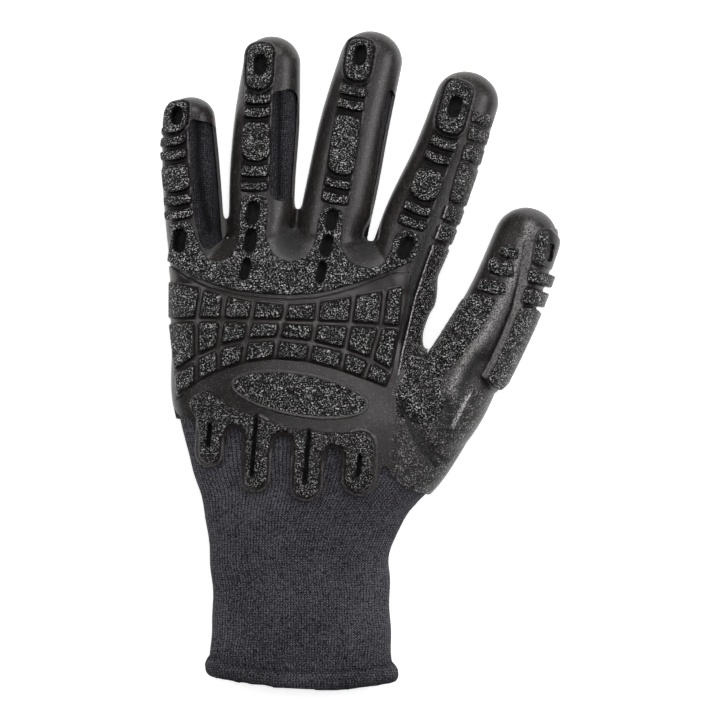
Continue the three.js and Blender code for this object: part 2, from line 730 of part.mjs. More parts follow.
// The pebbled field on the thumb's inner side and its root, with three blocks towards the tip.
const THUMB_FIELD = [
  [52.2, 22.4], [44, 25.4], [26.6, 1.4], [13.9, -6.4], [11.6, -10.4], [9.8, -12.4], [9.6, -36],
  [14, -38], [24, -38], [31, -30], [32, -16], [34.4, -8.6], [41.4, 4.8],
];
const THUMB_BLOCKS = [
  [[43, 26.6], [45.6, 30.8], [54, 29], [53.8, 24.2], [49.6, 24.8]],
  [[47.4, 34.6], [49.6, 38.2], [57.8, 36.8], [57.8, 31.2], [53.4, 32.2]],
  [[51, 41], [52.4, 43.4], [57.6, 43.8], [60.2, 40.2], [59.4, 37.4], [52.6, 39.4]],
];
const THUMB_RIB = [[44, 20], [51, 41], [54.6, 41.4], [50.4, 22]];

function thumbField() {
  const field = prism(THUMB_FIELD, FIELD_FLOOR);
  const blocks = unionOf(THUMB_BLOCKS.map((corners) => prism(corners, THUMB_BLOCK_FLOOR)));
  return layer(GAP, FIELD_TOP, field)
    .add(layer(GAP, STRIP_TOP, prism(THUMB_RIB, THUMB_BLOCK_FLOOR)))
    .add(layer(GAP, TILE_TOP, blocks));
}

function rubber(colour, roughness) {
  return new THREE.MeshStandardMaterial({ color: colour, roughness, metalness: 0 });
}

const PEBBLED = rubber(0x2b2b2c, 0.45);
const SMOOTH = rubber(0x1b191a, 0.4);
const KNIT = new THREE.MeshStandardMaterial({ color: 0x26262b, roughness: 0.95, metalness: 0 });

const glove = new THREE.Group();

function addPiece(name, solid, material) {
  const mesh = wholePiece(solid).getMesh();
  const geometry = new THREE.BufferGeometry();
  geometry.setAttribute('position', new THREE.BufferAttribute(new Float32Array(mesh.vertProperties), 3));
  geometry.setIndex(new THREE.BufferAttribute(new Uint32Array(mesh.triVerts), 1));
  geometry.computeVertexNormals();
  const piece = new THREE.Mesh(geometry, material);
  piece.name = name;
  glove.add(piece);
}

addPiece('knit_cuff', within(liner(), CUFF_ZONE), KNIT);
addPiece('knit_hand', within(liner(), HAND_ZONE), KNIT);
addPiece('cuff_hem', cuffHem(), KNIT);
addPiece('palm_coating', within(coating(), HAND_ZONE), SMOOTH);
for (const [digit, zone] of Object.entries(DIGIT_ZONES)) {
  addPiece(`knit_${digit}`, within(liner(), zone), KNIT);
  addPiece(`${digit}_coating`, within(coating(), zone), SMOOTH);
}
addPiece('back_skin', backSkin(), SMOOTH);
addPiece('knuckle_guard', knuckleGuard(), PEBBLED);
addPiece('tile_panel', tilePanel(), PEBBLED);
addPiece('oval_plate', ovalPlate(), PEBBLED);
addPiece('cuff_fringe', cuffFringe(), PEBBLED);
for (const [name, guard] of Object.entries(FINGER_GUARDS)) {
  addPiece(name, fingerGuard(guard), PEBBLED);
}
addPiece('index_side_guard', indexSideGuard(), PEBBLED);
addPiece('thumb_guard', thumbGuard(), PEBBLED);
addPiece('thumb_field', thumbField(), PEBBLED);

export default glove;
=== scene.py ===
# An impact work glove for the left hand, lying palm down on a pale floor.
# Tables are in millimetres in the glove's own frame: +X to the thumb, +Y to the fingers, +Z up.
import itertools
import math
from collections import namedtuple

import bpy
import numpy as np
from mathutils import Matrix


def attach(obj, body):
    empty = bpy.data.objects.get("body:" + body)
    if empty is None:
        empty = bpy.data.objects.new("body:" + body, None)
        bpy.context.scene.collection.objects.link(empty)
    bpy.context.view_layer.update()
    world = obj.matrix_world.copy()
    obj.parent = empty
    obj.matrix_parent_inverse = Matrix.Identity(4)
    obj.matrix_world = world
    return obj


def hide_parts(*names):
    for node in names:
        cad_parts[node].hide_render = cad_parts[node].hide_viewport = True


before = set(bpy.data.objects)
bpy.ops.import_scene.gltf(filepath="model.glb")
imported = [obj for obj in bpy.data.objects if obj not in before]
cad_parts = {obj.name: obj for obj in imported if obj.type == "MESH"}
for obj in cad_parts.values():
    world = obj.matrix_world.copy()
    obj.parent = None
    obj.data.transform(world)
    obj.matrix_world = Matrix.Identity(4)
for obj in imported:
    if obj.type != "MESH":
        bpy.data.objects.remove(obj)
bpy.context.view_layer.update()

MM = 0.001
scene = bpy.context.scene


# The camera looks straight down. It sees VIEW_WIDTH across at the height of the glove's outline.
VIEW_WIDTH = 273.6
OUTLINE_HEIGHT = 13
LENS = 150
SENSOR = 36

camera_data = bpy.data.cameras.new("camera")
camera_data.lens = LENS
camera_data.sensor_width = SENSOR
camera = bpy.data.objects.new("camera", camera_data)
camera.location = (0, 0, (OUTLINE_HEIGHT + VIEW_WIDTH * LENS / SENSOR) * MM)
scene.collection.objects.link(camera)
scene.camera = camera
scene.view_settings.view_transform = "Standard"


# The hand form. A body section has its left and right edge, its lowest and highest point, how
# far its line bows with x, and the share of a layer's growth that moves it forwards.
Body = namedtuple("Body", "y left right low high bow push", defaults=(0, 0))
BODY = [
    Body(-125, -58.5, 14.8, -0.6, 25.5, 0.003),
    Body(-111, -58.3, 13.2, -0.4, 24.6),
    Body(-93, -57.7, 13.2, -0.4, 24.8),
    Body(-82, -58, 12.8, -0.4, 24.9),
    Body(-74, -58.3, 12.4, -0.4, 25),
    Body(-60, -60.3, 18.9, -0.6, 27),
    Body(-46, -63.6, 31.2, -1, 29.2),
    Body(-37, -66, 37.2, -1.2, 30),
    Body(-30, -67.9, 41, -1.3, 30.4),
    Body(-24, -69.4, 42, -1.4, 30.8),
    Body(-16, -71.2, 36, -1.5, 31.2),
    Body(4, -71.4, 23.5, -1.6, 32.2),
    Body(24, -71.2, 25.2, -1.2, 32, -0.003),
    Body(38, -71.2, 28, 0.6, 30.2, -0.006, 0.5),
    Body(46, -71.2, 28.6, 3.6, 26.4, -0.006, 1),
    Body(50.5, -70.6, 28, 8, 21.6, -0.006, 1),
]
# A digit's section: its centre, half its width and half its height. `tip` is how far the
# rounded end reaches past the last one.
Section = namedtuple("Section", "y x z wide tall")
Digit = namedtuple("Digit", "tip rows")
LITTLE = Digit(8.3, [
    Section(30, -60.6, 15.5, 10.6, 11),
    Section(54, -62.9, 13.6, 11.1, 10.9),
    Section(80, -64.5, 11, 10.6, 9.9),
    Section(92, -64.4, 10, 9.3, 9),
])
RING = Digit(10.4, [
    Section(38, -36.6, 15.6, 12.2, 11.6),
    Section(64, -37.2, 13.6, 12.5, 11.4),
    Section(92, -35.3, 11.4, 12.4, 10.7),
    Section(113, -33.5, 10, 10.9, 9.7),
])
MIDDLE = Digit(11.3, [
    Section(34, -13.6, 16, 13, 12),
    Section(64, -7.2, 14.1, 13.6, 11.8),
    Section(92, -1.5, 11.8, 13.1, 11.1),
    Section(114, 4.2, 10.2, 12, 9.9),
])
INDEX = Digit(10.9, [
    Section(28, 13.1, 16.2, 12.8, 12),
    Section(52, 22.3, 14.4, 13.9, 11.8),
    Section(78, 33.2, 12, 12.7, 10.9),
    Section(99, 40.8, 10.1, 12.2, 9.7),
])
THUMB = Digit(12.2, [
    Section(-38, 15, 14.5, 12, 10.5),
    Section(-22, 28.4, 15.5, 15.2, 13.6),
    Section(0, 41.5, 14.6, 14.2, 13.2),
    Section(24, 54.2, 12.8, 13, 12),
    Section(46, 63.1, 10.9, 12.2, 10.6),
])
DIGITS = [LITTLE, RING, MIDDLE, INDEX, THUMB]
BODY_SQUARENESS = 2.6
DIGIT_SQUARENESS = 2.25
CUFF_CENTRE_X = -17
KNUCKLE_CENTRE_X = -24
SIDES = 72
ROW_STEP = 2
DOME_STEPS = 12
DOME_END = 0.97 * math.pi / 2

# Layers, as distances outwards from the outer face of the rubber skin.
SKIN_INSIDE = -1.1
KNIT_OUTSIDE = -1.4
KNIT_INSIDE = -2.6
SUNK = -0.5

FORM_VOXEL = 1.0
INNER_VOXEL = 1.5
LINER_VOXEL = 1.4
FORM_SMOOTHING = 10
# Upright cutting solids reach from the floor or below it up to the sky, and these places lie
# clear of the glove all round.
SKY = 60
UNDERGROUND = -5
CLEAR_LEFT = -80
CLEAR_RIGHT = 80
CLEAR_BACK = 135
CLEAR_FRONT = -140


def finer(rows, step):
    """The rows of a table with more between them, on a smooth curve through each column."""
    table = np.array(rows, float)
    y = table[:, 0]
    fine_y = np.linspace(y[0], y[-1], max(2, round((y[-1] - y[0]) / step)) + 1)
    slopes = np.gradient(table, y, axis=0)
    after = np.clip(np.searchsorted(y, fine_y, side="right"), 1, len(y) - 1)
    before = after - 1
    gap = (y[after] - y[before])[:, None]
    t = (fine_y - y[before])[:, None] / gap
    return (
        (2 * t**3 - 3 * t**2 + 1) * table[before]
        + (t**3 - 2 * t**2 + t) * gap * slopes[before]
        + (3 * t**2 - 2 * t**3) * table[after]
        + (t**3 - t**2) * gap * slopes[after]
    )


def section_shares(squareness):
    """The points of a rounded-square section, as shares of its half width and half height."""
    turn = 2 * np.pi * np.arange(SIDES) / SIDES
    power = 2 / squareness
    across = np.sign(np.cos(turn)) * np.abs(np.cos(turn)) ** power
    up = np.sign(np.sin(turn)) * np.abs(np.sin(turn)) ** power
    return across, up


def body_rings(grow, cuff_extra):
    rows = finer(BODY, ROW_STEP)
    if cuff_extra:
        mouth = rows[:1].copy()
        mouth[0, 0] -= cuff_extra
        rows = np.vstack([mouth, rows])
    y, left, right, low, high, bow, push = (column[:, None] for column in rows.T)
    across, up = section_shares(BODY_SQUARENESS)
    middle = (left + right) / 2
    half = (right - left) / 2
    bend = np.where(y < 0, CUFF_CENTRE_X, KNUCKLE_CENTRE_X)
    x = middle + (half + grow) * across
    bowed = y + grow * push + bow * (middle + half * across - bend) ** 2
    z = (low + high) / 2 + ((high - low) / 2 + grow) * up
    return np.stack([x, bowed, np.maximum(z, -grow)], axis=2)


def digit_rings(digit, grow):
    y, x, z, wide, tall = finer(digit.rows, ROW_STEP).T
    heading = np.arctan2(np.gradient(x), np.gradient(y))
    dome = np.linspace(0, DOME_END, DOME_STEPS)[1:]
    reach = (digit.tip + grow) * np.sin(dome)
    x = np.append(x, x[-1] + reach * math.sin(heading[-1]))
    y = np.append(y, y[-1] + reach * math.cos(heading[-1]))
    scale = np.append(np.ones(len(wide)), np.cos(dome))
    z, wide, tall, heading = (
        np.append(column, np.full(len(dome), column[-1])) for column in (z, wide, tall, heading)
    )
    across, up = section_shares(DIGIT_SQUARENESS)
    sideways = ((wide + grow) * scale)[:, None] * across
    ring_x = x[:, None] + sideways * np.cos(heading)[:, None]
    ring_y = y[:, None] - sideways * np.sin(heading)[:, None]
    ring_z = z[:, None] + ((tall + grow) * scale)[:, None] * up
    return np.stack([ring_x, ring_y, np.maximum(ring_z, -grow)], axis=2)


# Meshes
def mesh_object(name, points, faces):
    mesh = bpy.data.meshes.new(name)
    mesh.from_pydata([tuple(p) for p in np.asarray(points) * MM], [], faces)
    piece = bpy.data.objects.new(name, mesh)
    scene.collection.objects.link(piece)
    return piece


def tube_faces(rings, sides, start):
    """The faces of a closed tube over rings of points."""
    faces = []
    for r in range(rings - 1):
        for s in range(sides):
            a = start + r * sides + s
            b = start + r * sides + (s + 1) % sides
            faces.append((a, a + sides, b + sides, b))
    faces.append(tuple(range(start, start + sides)))
    last = start + (rings - 1) * sides
    faces.append(tuple(reversed(range(last, last + sides))))
    return faces


def tubes(name, all_rings):
    """Closed tubes, each over its own rings of points, as one object."""
    points = []
    faces = []
    for rings in all_rings:
        faces += tube_faces(len(rings), len(rings[0]), sum(len(p) for p in points))
        points.append(rings.reshape(-1, 3))
    return mesh_object(name, np.vstack(points), faces)


def reshaped(piece, kind, **settings):
    """Gives a piece one modifier and applies it."""
    modifier = piece.modifiers.new(kind.lower(), kind)
    for setting, value in settings.items():
        setattr(modifier, setting, value)
    depsgraph = bpy.context.evaluated_depsgraph_get()
    mesh = bpy.data.meshes.new_from_object(piece.evaluated_get(depsgraph))
    old = piece.data
    piece.modifiers.clear()
    piece.data = mesh
    bpy.data.meshes.remove(old)
    return piece


def remeshed(piece, voxel, smoothing):
    reshaped(piece, "REMESH", mode="VOXEL", voxel_size=voxel * MM, adaptivity=0)
    return reshaped(piece, "SMOOTH", factor=0.5, iterations=smoothing)


def remove(piece):
    mesh = piece.data
    bpy.data.objects.remove(piece)
    bpy.data.meshes.remove(mesh)


def combined(piece, other, operation):
    return reshaped(piece, "BOOLEAN", operation=operation, solver="MANIFOLD", object=other)


def using_up(piece, solid, operation="DIFFERENCE"):
    """Cuts a solid out of a piece, or combines them in another way, and removes the solid."""
    combined(piece, solid, operation)
    remove(solid)
    return piece


def copy_of(piece, name):
    copy = bpy.data.objects.new(name, piece.data.copy())
    scene.collection.objects.link(copy)
    return copy


def values_of(collection, field, width=1, kind=float):
    """One field of everything in a collection, as an array."""
    values = np.zeros(len(collection) * width, kind)
    collection.foreach_get(field, values)
    return values.reshape(-1, width).squeeze()


def mesh_points(piece):
    return values_of(piece.data.vertices, "co", 3) / MM


def mesh_normals(piece):
    return values_of(piece.data.vertex_normals, "vector", 3)


def move_points(piece, points):
    piece.data.vertices.foreach_set("co", (points * MM).ravel())
    piece.data.update()


def raise_points(piece, heights):
    """Moves each point of a piece out along its normal."""
    move_points(piece, mesh_points(piece) + mesh_normals(piece) * heights[:, None])


def run_out(piece, share, top):
    """Sinks a piece into the skin, by all its height where the share is 0."""
    points = mesh_points(piece)
    points[:, 2] -= (top - SUNK) * (1 - share) ** 2
    move_points(piece, points)


def store(piece, name, kind, field, values):
    attribute = piece.data.attributes.new(name, kind, "POINT")
    attribute.data.foreach_set(field, np.asarray(values, np.float32).ravel())


forms = {}


def hand_form(grow, cuff_extra=0, voxel=FORM_VOXEL):
    """The whole hand at one size, as one smooth closed surface."""
    key = (grow, cuff_extra, voxel)
    if key not in forms:
        all_rings = [body_rings(grow, cuff_extra)] + [digit_rings(digit, grow) for digit in DIGITS]
        forms[key] = remeshed(tubes("form", all_rings), voxel, FORM_SMOOTHING)
    return forms[key]


# Outlines are lists of (x, y) corners.
OUTLINE_STEP = 1.0
ROUND_END_STEPS = 12
CORNER_STEPS = 5


def slot(start, end, radius):
    """A round-ended slot from one point to another."""
    heading = math.atan2(end[1] - start[1], end[0] - start[0])
    corners = []
    for (x, y), turn in ((end, heading - math.pi / 2), (start, heading + math.pi / 2)):
        for step in range(ROUND_END_STEPS + 1):
            angle = turn + math.pi * step / ROUND_END_STEPS
            corners.append((x + radius * math.cos(angle), y + radius * math.sin(angle)))
    return corners


def rounded(corners, radius):
    """An outline with its corners rounded off."""
    points = np.array(corners, float)
    result = []
    for number, corner in enumerate(points):
        before = points[number - 1] - corner
        after = points[(number + 1) % len(points)] - corner
        room_before = min(radius, np.linalg.norm(before) / 2)
        room_after = min(radius, np.linalg.norm(after) / 2)
        start = corner + before / np.linalg.norm(before) * room_before
        end = corner + after / np.linalg.norm(after) * room_after
        for step in range(CORNER_STEPS + 1):
            t = step / CORNER_STEPS
            result.append(tuple((1 - t) ** 2 * start + 2 * t * (1 - t) * corner + t**2 * end))
    return result


def refined(outline):
    """An outline with its points no further apart than a step."""
    points = np.array(outline, float)
    result = []
    for here, after in zip(points, np.roll(points, -1, axis=0)):
        count = max(1, math.ceil(np.linalg.norm(after - here) / OUTLINE_STEP))
        result += [here + (after - here) * part / count for part in range(count)]
    return result


def inset(corners, distance):
    """An anticlockwise outline with each side moved inwards."""
    points = np.array(corners, float)
    before = points - np.roll(points, 1, axis=0)
    after = np.roll(points, -1, axis=0) - points
    before /= np.linalg.norm(before, axis=1)[:, None]
    after /= np.linalg.norm(after, axis=1)[:, None]
    inward = np.stack([-before[:, 1] - after[:, 1], before[:, 0] + after[:, 0]], axis=1)
    return points + inward * (distance / (1 + np.sum(before * after, axis=1)))[:, None]


def ribbon(line, half):
    """A narrow band along a line of points."""
    points = np.array(line, float)
    length = np.append(0, np.cumsum(np.linalg.norm(np.diff(points, axis=0), axis=1)))
    places = np.linspace(0, length[-1], math.ceil(length[-1] / OUTLINE_STEP) + 1)
    x = np.interp(places, length, points[:, 0])
    y = np.interp(places, length, points[:, 1])
    slope = np.gradient(np.stack([x, y], axis=1), axis=0)
    across = np.stack([-slope[:, 1], slope[:, 0]], axis=1)
    across *= half / np.linalg.norm(across, axis=1)[:, None]
    left = np.stack([x, y], axis=1) + across
    right = np.stack([x, y], axis=1) - across
    return [tuple(p) for p in np.vstack([left, right[::-1]])]


def prisms(outlines, floor=0.0):
    """Closed upright solids over outlines that don't overlap, as one object."""
    all_rings = []
    for outline in outlines:
        corners = np.array(outline, float)
        after = np.roll(corners, -1, axis=0)
        area = np.sum(corners[:, 0] * after[:, 1] - after[:, 0] * corners[:, 1])
        if area > 0:
            corners = corners[::-1]
        all_rings.append(np.array([[(x, y, z) for x, y in corners] for z in (floor, SKY)]))
    return tubes("prisms", all_rings)


def raised(outlines, top, floor):
    """What of the hand form at one size lies over the outlines."""
    return combined(prisms(outlines, floor), hand_form(top), "INTERSECT")


def raised_ring(outer, inner, top, floor):
    """A raised band between two outlines."""
    return using_up(raised([outer], top, floor), prisms([inner]))


PAD_VOXEL = 0.44
PAD_SMOOTHING = 2


def moulded(name, parts, voxel=PAD_VOXEL, smoothing=PAD_SMOOTHING, carvings=()):
    """A rubber piece made of raised parts, sunk a little into the skin, with soft edges.

    A carving is a list of outlines and the size of the hand form that it is cut down to.
    """
    piece = parts[0]
    for part in parts[1:]:
        using_up(piece, part, "UNION")
    for outlines, depth_from in carvings:
        using_up(piece, combined(prisms(outlines), hand_form(depth_from), "DIFFERENCE"))
    combined(piece, hand_form(SUNK), "DIFFERENCE")
    remeshed(piece, voxel, smoothing)
    piece.name = name
    return piece


# Where the rubber is pebbled
EDGE_WIDTH = 0.3
TINY = 1e-9


def line_distance(points, line):
    """How far points lie from a line of points, seen from above."""
    start = np.array(line[:-1], float)
    ahead = np.array(line[1:], float) - start
    away = points[:, None, :2] - start
    length = np.maximum((ahead**2).sum(axis=1), TINY)
    share = np.clip((away * ahead).sum(axis=2) / length, 0, 1)
    return np.linalg.norm(away - share[:, :, None] * ahead, axis=2).min(axis=1)


def depth_inside(points, outlines):
    """How far inside an outline each point lies, seen from above, or 0."""
    flat = points[:, :2]
    depth = np.zeros(len(flat))
    for outline in outlines:
        start = np.array(outline, float)
        end = np.roll(start, -1, axis=0)
        line = end - start
        near = np.flatnonzero(((flat > start.min(axis=0)) & (flat < start.max(axis=0))).all(axis=1))
        x = flat[near, :1]
        y = flat[near, 1:]
        crosses = (start[:, 1] > y) != (end[:, 1] > y)
        rise = np.where(line[:, 1] == 0, 1, line[:, 1])
        hits = crosses & (x < start[:, 0] + line[:, 0] / rise * (y - start[:, 1]))
        inside = hits.sum(axis=1) % 2 == 1
        distance = line_distance(flat[near], [*start, start[0]])
        depth[near] = np.maximum(depth[near], np.where(inside, distance, 0))
    return depth


# The pebbled grain: rounded bumps at random places, about GRAIN_PITCH apart.
GRAIN_PITCH = 1.0
GRAIN_REACH = 0.75
GRAIN_HEIGHT = 0.12
GRAIN_SEED = 7
GRAIN_PLACES = 4096
GRAIN_SPREAD = (73, 179, 283)
grain_table = np.random.default_rng(GRAIN_SEED).random((GRAIN_PLACES, 3))
# A highlight is painted on crests where they face up at least this much.
HIGHLIGHT_FACING_START = 0.35


def grain(points):
    """The height of the nearest bump at each point, from 0 to 1."""
    cells = np.floor(points / GRAIN_PITCH).astype(int)
    nearest = np.full(len(points), np.inf)
    for step in itertools.product((-1, 0, 1), repeat=3):
        cell = cells + step
        number = (cell * GRAIN_SPREAD).sum(axis=1) % GRAIN_PLACES
        centre = (cell + grain_table[number]) * GRAIN_PITCH
        nearest = np.minimum(nearest, np.linalg.norm(points - centre, axis=1))
    height = np.clip(1 - nearest / (GRAIN_REACH * GRAIN_PITCH), 0, 1)
    return height * (2 - height)


def share_inside(points, outlines, width=EDGE_WIDTH):
    """1 inside the outlines and 0 outside, with a soft change just inside their edges."""
    return np.clip(depth_inside(points, outlines) / width, 0, 1)


def rubber_finish(piece, pebbled, hollow=0.0, painted_highlight=0.0):
    """Raises the grain where a piece is pebbled, and notes for its material where shade is painted
    into hollows. The last argument is how strongly a highlight is painted on narrow crests, where
    they face up.
    """
    points = mesh_points(piece)
    painted_highlight = painted_highlight * np.clip((mesh_normals(piece)[:, 2] - HIGHLIGHT_FACING_START) / (1 - HIGHLIGHT_FACING_START), 0, 1)
    raise_points(piece, GRAIN_HEIGHT * pebbled * (grain(points) - 0.5))
    for name, values in (("pebbled", pebbled), ("hollow", hollow), ("painted_highlight", painted_highlight)):
        store(piece, name, "FLOAT", "value", np.broadcast_to(values, len(points)))
    return piece


def between(points, outer, inner):
    """1 in the bands between outer and inner outlines, and 0 elsewhere."""
    return (depth_inside(points, outer) > 0) * (depth_inside(points, inner) == 0)


def grained(piece, outlines, hollows=()):
    """Pebbles a piece inside some outlines, and paints shade into the hollows in them."""
    points = mesh_points(piece)
    pebbled = share_inside(points, outlines)
    hollow = share_inside(points, hollows)
    return rubber_finish(piece, pebbled * (1 - hollow), hollow)


# The arc that divides the knuckle band from the tiles.
ARC = [
    (-78, 41), (-72.3, 36.7), (-64.7, 31.8), (-56, 27.9), (-45.3, 25.2), (-35.4, 24), (-26.3, 23.6),
    (-17.2, 24.1), (-9.6, 25.6), (-1.2, 28.1), (5.6, 30.5), (13.2, 33.6), (20.5, 36.6),
]
GROOVE = 1.3
# The crossings of the grooves between the tiles: the line above each row and below the last.
TILE_LINES = [
    [(-73.4, 30.9), (-59.2, 27.2), (-50.4, 24.8), (-39.5, 22.6), (-27.2, 21.4), (-15.5, 22.2),
     (-2, 24.8), (9.6, 27), (17, 28.8)],
    [(-73.4, 14.6), (-61.2, 15), (-51.6, 15), (-40.9, 14.7), (-28.9, 14.4), (-16.4, 13.9),
     (-3.7, 13.5), (7.8, 12.7), (15.4, 12)],
    [(-70.8, -5.6), (-61.3, 1), (-52.9, 4.8), (-42.6, 7.3), (-30.7, 8), (-18, 6.5),
     (-5.6, 3.6), (4, 0), (12.2, -4.6)],
    [(-69.8, -15.6), (-61.2, -8.4), (-52.6, -4.2), (-44, -1.4), (-32, 0.2), (-19.5, -0.9),
     (-7.3, -4.2), (1.2, -7.2), (10, -10.6)],
]
TILE_GROOVE = 2.1
TILE_CORNER = 0.8
TILE_TOP = 2.3
TILE_BASE_TOP = 0.7
TILE_FLOOR = 15
TILE_BASE_CORNER = 1
TILE_BASE_RIGHT = (19.5, 33)
TILE_BASE_LEFT_Y = 34
SILHOUETTE_X = -72.7


def shifted(line, rise):
    return [(x, y + rise) for x, y in line]


def tile_outlines():
    outlines = []
    for above, below in zip(TILE_LINES, TILE_LINES[1:]):
        for column in range(len(above) - 1):
            corners = [below[column], below[column + 1], above[column + 1], above[column]]
            outlines.append(rounded(inset(corners, TILE_GROOVE / 2), TILE_CORNER))
    return outlines


def tile_panel():
    right = [line[-1] for line in TILE_LINES[:0:-1]]
    top = shifted(ARC, -GROOVE / 2)[-2:0:-1]
    left = (SILHOUETTE_X, TILE_BASE_LEFT_Y)
    base = rounded([*TILE_LINES[-1][:-1], *right, TILE_BASE_RIGHT, *top, left], TILE_BASE_CORNER)
    tiles = tile_outlines()
    parts = [raised([base], TILE_BASE_TOP, TILE_FLOOR), raised(tiles, TILE_TOP, TILE_FLOOR)]
    return grained(moulded("tile_panel_rubber", parts, voxel=0.47), tiles)


# The pebbled band over the knuckles, with a tongue up each finger and a hollow between them.
KNUCKLE_TOP_EDGE = [
    (SILHOUETTE_X, 49.6), (-70.6, 51.6), (-66, 52.2), (-62.8, 51.2),
    (-61.2, 46), (-59.4, 40.5), (-56, 37), (-52, 37), (-48.5, 39), (-45.7, 43.5), (-45.4, 51.5),
    (-45.2, 60.4), (-42.6, 61.8), (-39.6, 62.3), (-36.6, 61.8), (-34.3, 60.4),
    (-34.6, 54), (-35.3, 46.5), (-32.5, 39.5), (-26.5, 36.5), (-19.5, 39), (-16.7, 45),
    (-15.6, 53), (-14.6, 56), (-10.6, 57.8), (-6, 55.6),
    (-6.4, 50.5), (-7.2, 42.5), (-3.5, 36.5), (2.5, 34.5), (8.5, 35.5), (11.6, 41.5),
    (13, 47), (17, 49.4), (22.6, 46.6), (22.4, 42), (20.6, 38),
]
Slot = namedtuple("Slot", "start end half")
RECESSES = [
    Slot((-68, 42.8), (-67.5, 46.8), 2.6),
    Slot((-40.7, 53), (-40, 57.2), 2.6),
    Slot((-41.5, 42.4), (-40.8, 46.8), 2.4),
    Slot((-43.4, 31.6), (-42.2, 36.2), 1.9),
    Slot((-11, 50.6), (-10.1, 54.4), 2.3),
    Slot((-13, 40.6), (-12, 44.8), 2.2),
    Slot((-14.9, 30.4), (-13.9, 35), 1.9),
    Slot((16.2, 40), (18, 44), 2.5),
]
KNUCKLE_FLOOR = 14
KNUCKLE_TOP = 2.8
EDGE_CORNER = 2
RECESS_FLOOR = 0.3


def knuckle_guard():
    low_edge = shifted(ARC, GROOVE / 2)
    low_edge = [(SILHOUETTE_X, low_edge[1][1]), *low_edge[2:]]
    band = rounded(KNUCKLE_TOP_EDGE, EDGE_CORNER)[::-1] + low_edge
    recesses = [slot(s.start, s.end, s.half) for s in RECESSES]
    parts = [raised([band], KNUCKLE_TOP, KNUCKLE_FLOOR)]
    carvings = [(recesses, RECESS_FLOOR)]
    piece = moulded("knuckle_guard_rubber", parts, voxel=0.45, carvings=carvings)
    # Shade is painted into the recesses.
    return grained(piece, [band], recesses)


# The guard along a finger: its centre line from root to tip, and its pads as the y where each
# begins and ends on that line, with half its width. `skew` tips the pads' ends, which bow
# towards the root, and `outer` is how much further they reach on the little finger's side.
# The last pad has a hole.
Guard = namedtuple("Guard", "line skew outer pads hole")
Pad = namedtuple("Pad", "start end half round", defaults=(0.8,))
Hole = namedtuple("Hole", "y reach half")
FINGER_GUARDS = {
    "little_guard": Guard(
        [(-67.3, 51.5), (-69.3, 73), (-70.3, 80), (-68.7, 98.5)], 0.16, 1.1,
        [
            Pad(53.4, 56.8, 5), Pad(58.6, 62.2, 4.8), Pad(63.9, 74, 4.7, 2.4),
            Pad(75.9, 79.3, 4.4), Pad(81.2, 84.6, 4.4), Pad(86.2, 97.8, 4.2, 4),
        ],
        Hole(92.2, 1.3, 2.3),
    ),
    "ring_guard": Guard(
        [(-39.8, 63), (-38.9, 82), (-39, 93), (-37.6, 111), (-37.4, 122)], 0, 0,
        [
            Pad(64, 67.1, 5.2), Pad(69.3, 73.4, 5.3), Pad(75.3, 90, 5.4, 4.4),
            Pad(91.8, 95.2, 5), Pad(96.9, 100.4, 5), Pad(102.4, 120, 4.9, 4.8),
        ],
        Hole(111.4, 1.7, 2.5),
    ),
    "middle_guard": Guard(
        [(-10, 57), (-7.6, 69), (-4.4, 92), (0, 114.4), (1.2, 123)], -0.2, 0,
        [
            Pad(59.3, 62.8, 4.9), Pad(64.9, 68, 5), Pad(70, 92.3, 5, 4.2),
            Pad(94.6, 98, 4.9), Pad(99.9, 103.6, 4.9), Pad(105.6, 121.6, 4.8, 4.7),
        ],
        Hole(114.8, 1.6, 2.5),
    ),
    "index_guard": Guard(
        [(17.4, 45.5), (24.7, 65.5), (31.6, 81.5), (38.6, 105)], -0.35, 0,
        [
            Pad(50.2, 53.4, 4.9), Pad(55.4, 58.6, 4.9), Pad(60.6, 71.8, 5.1, 4.4),
            Pad(74.6, 77.8, 4.8), Pad(79.9, 83.2, 4.8), Pad(85.8, 105.4, 4.9, 4.6),
        ],
        Hole(95.5, 1.7, 2.6),
    ),
}
PAD_TOP = 3.0
PAD_BOW = 0.5
STRIP_TOP = 0.5
STRIP_MARGIN = 0.6
STRIP_OVERLAP = 1
RIDGE_TOP = 1.4
RIDGE_INNER = 0.75
RIDGE_OUTER = 1.4
FINGER_FLOOR = 11
# How strongly a highlight is painted on the rims and on the strip's edge beside the pads.
RIM_PAINTED_HIGHLIGHT = 0.14
GAP_SHADE = 0.7


def line_x(line, y):
    """Where a line is at a given y."""
    across, along = np.array(line, float).T
    return np.interp(y, along, across)


def pad_outline(guard, pad, margin=0.0):
    half = pad.half + margin
    rise = guard.skew * half
    start = pad.start - margin
    end = pad.end + margin
    low = line_x(guard.line, start)
    high = line_x(guard.line, end)
    outer = half + guard.outer
    corners = rounded([
        (low - outer, start - rise), (low + half, start + rise),
        (high + half, end + rise), (high - outer, end - rise),
    ], pad.round + margin)
    x, y = np.array(refined(corners)).T
    share = (x - line_x(guard.line, y)) / half
    return list(zip(x, y - PAD_BOW * np.clip(1 - share**2, 0, 1)))


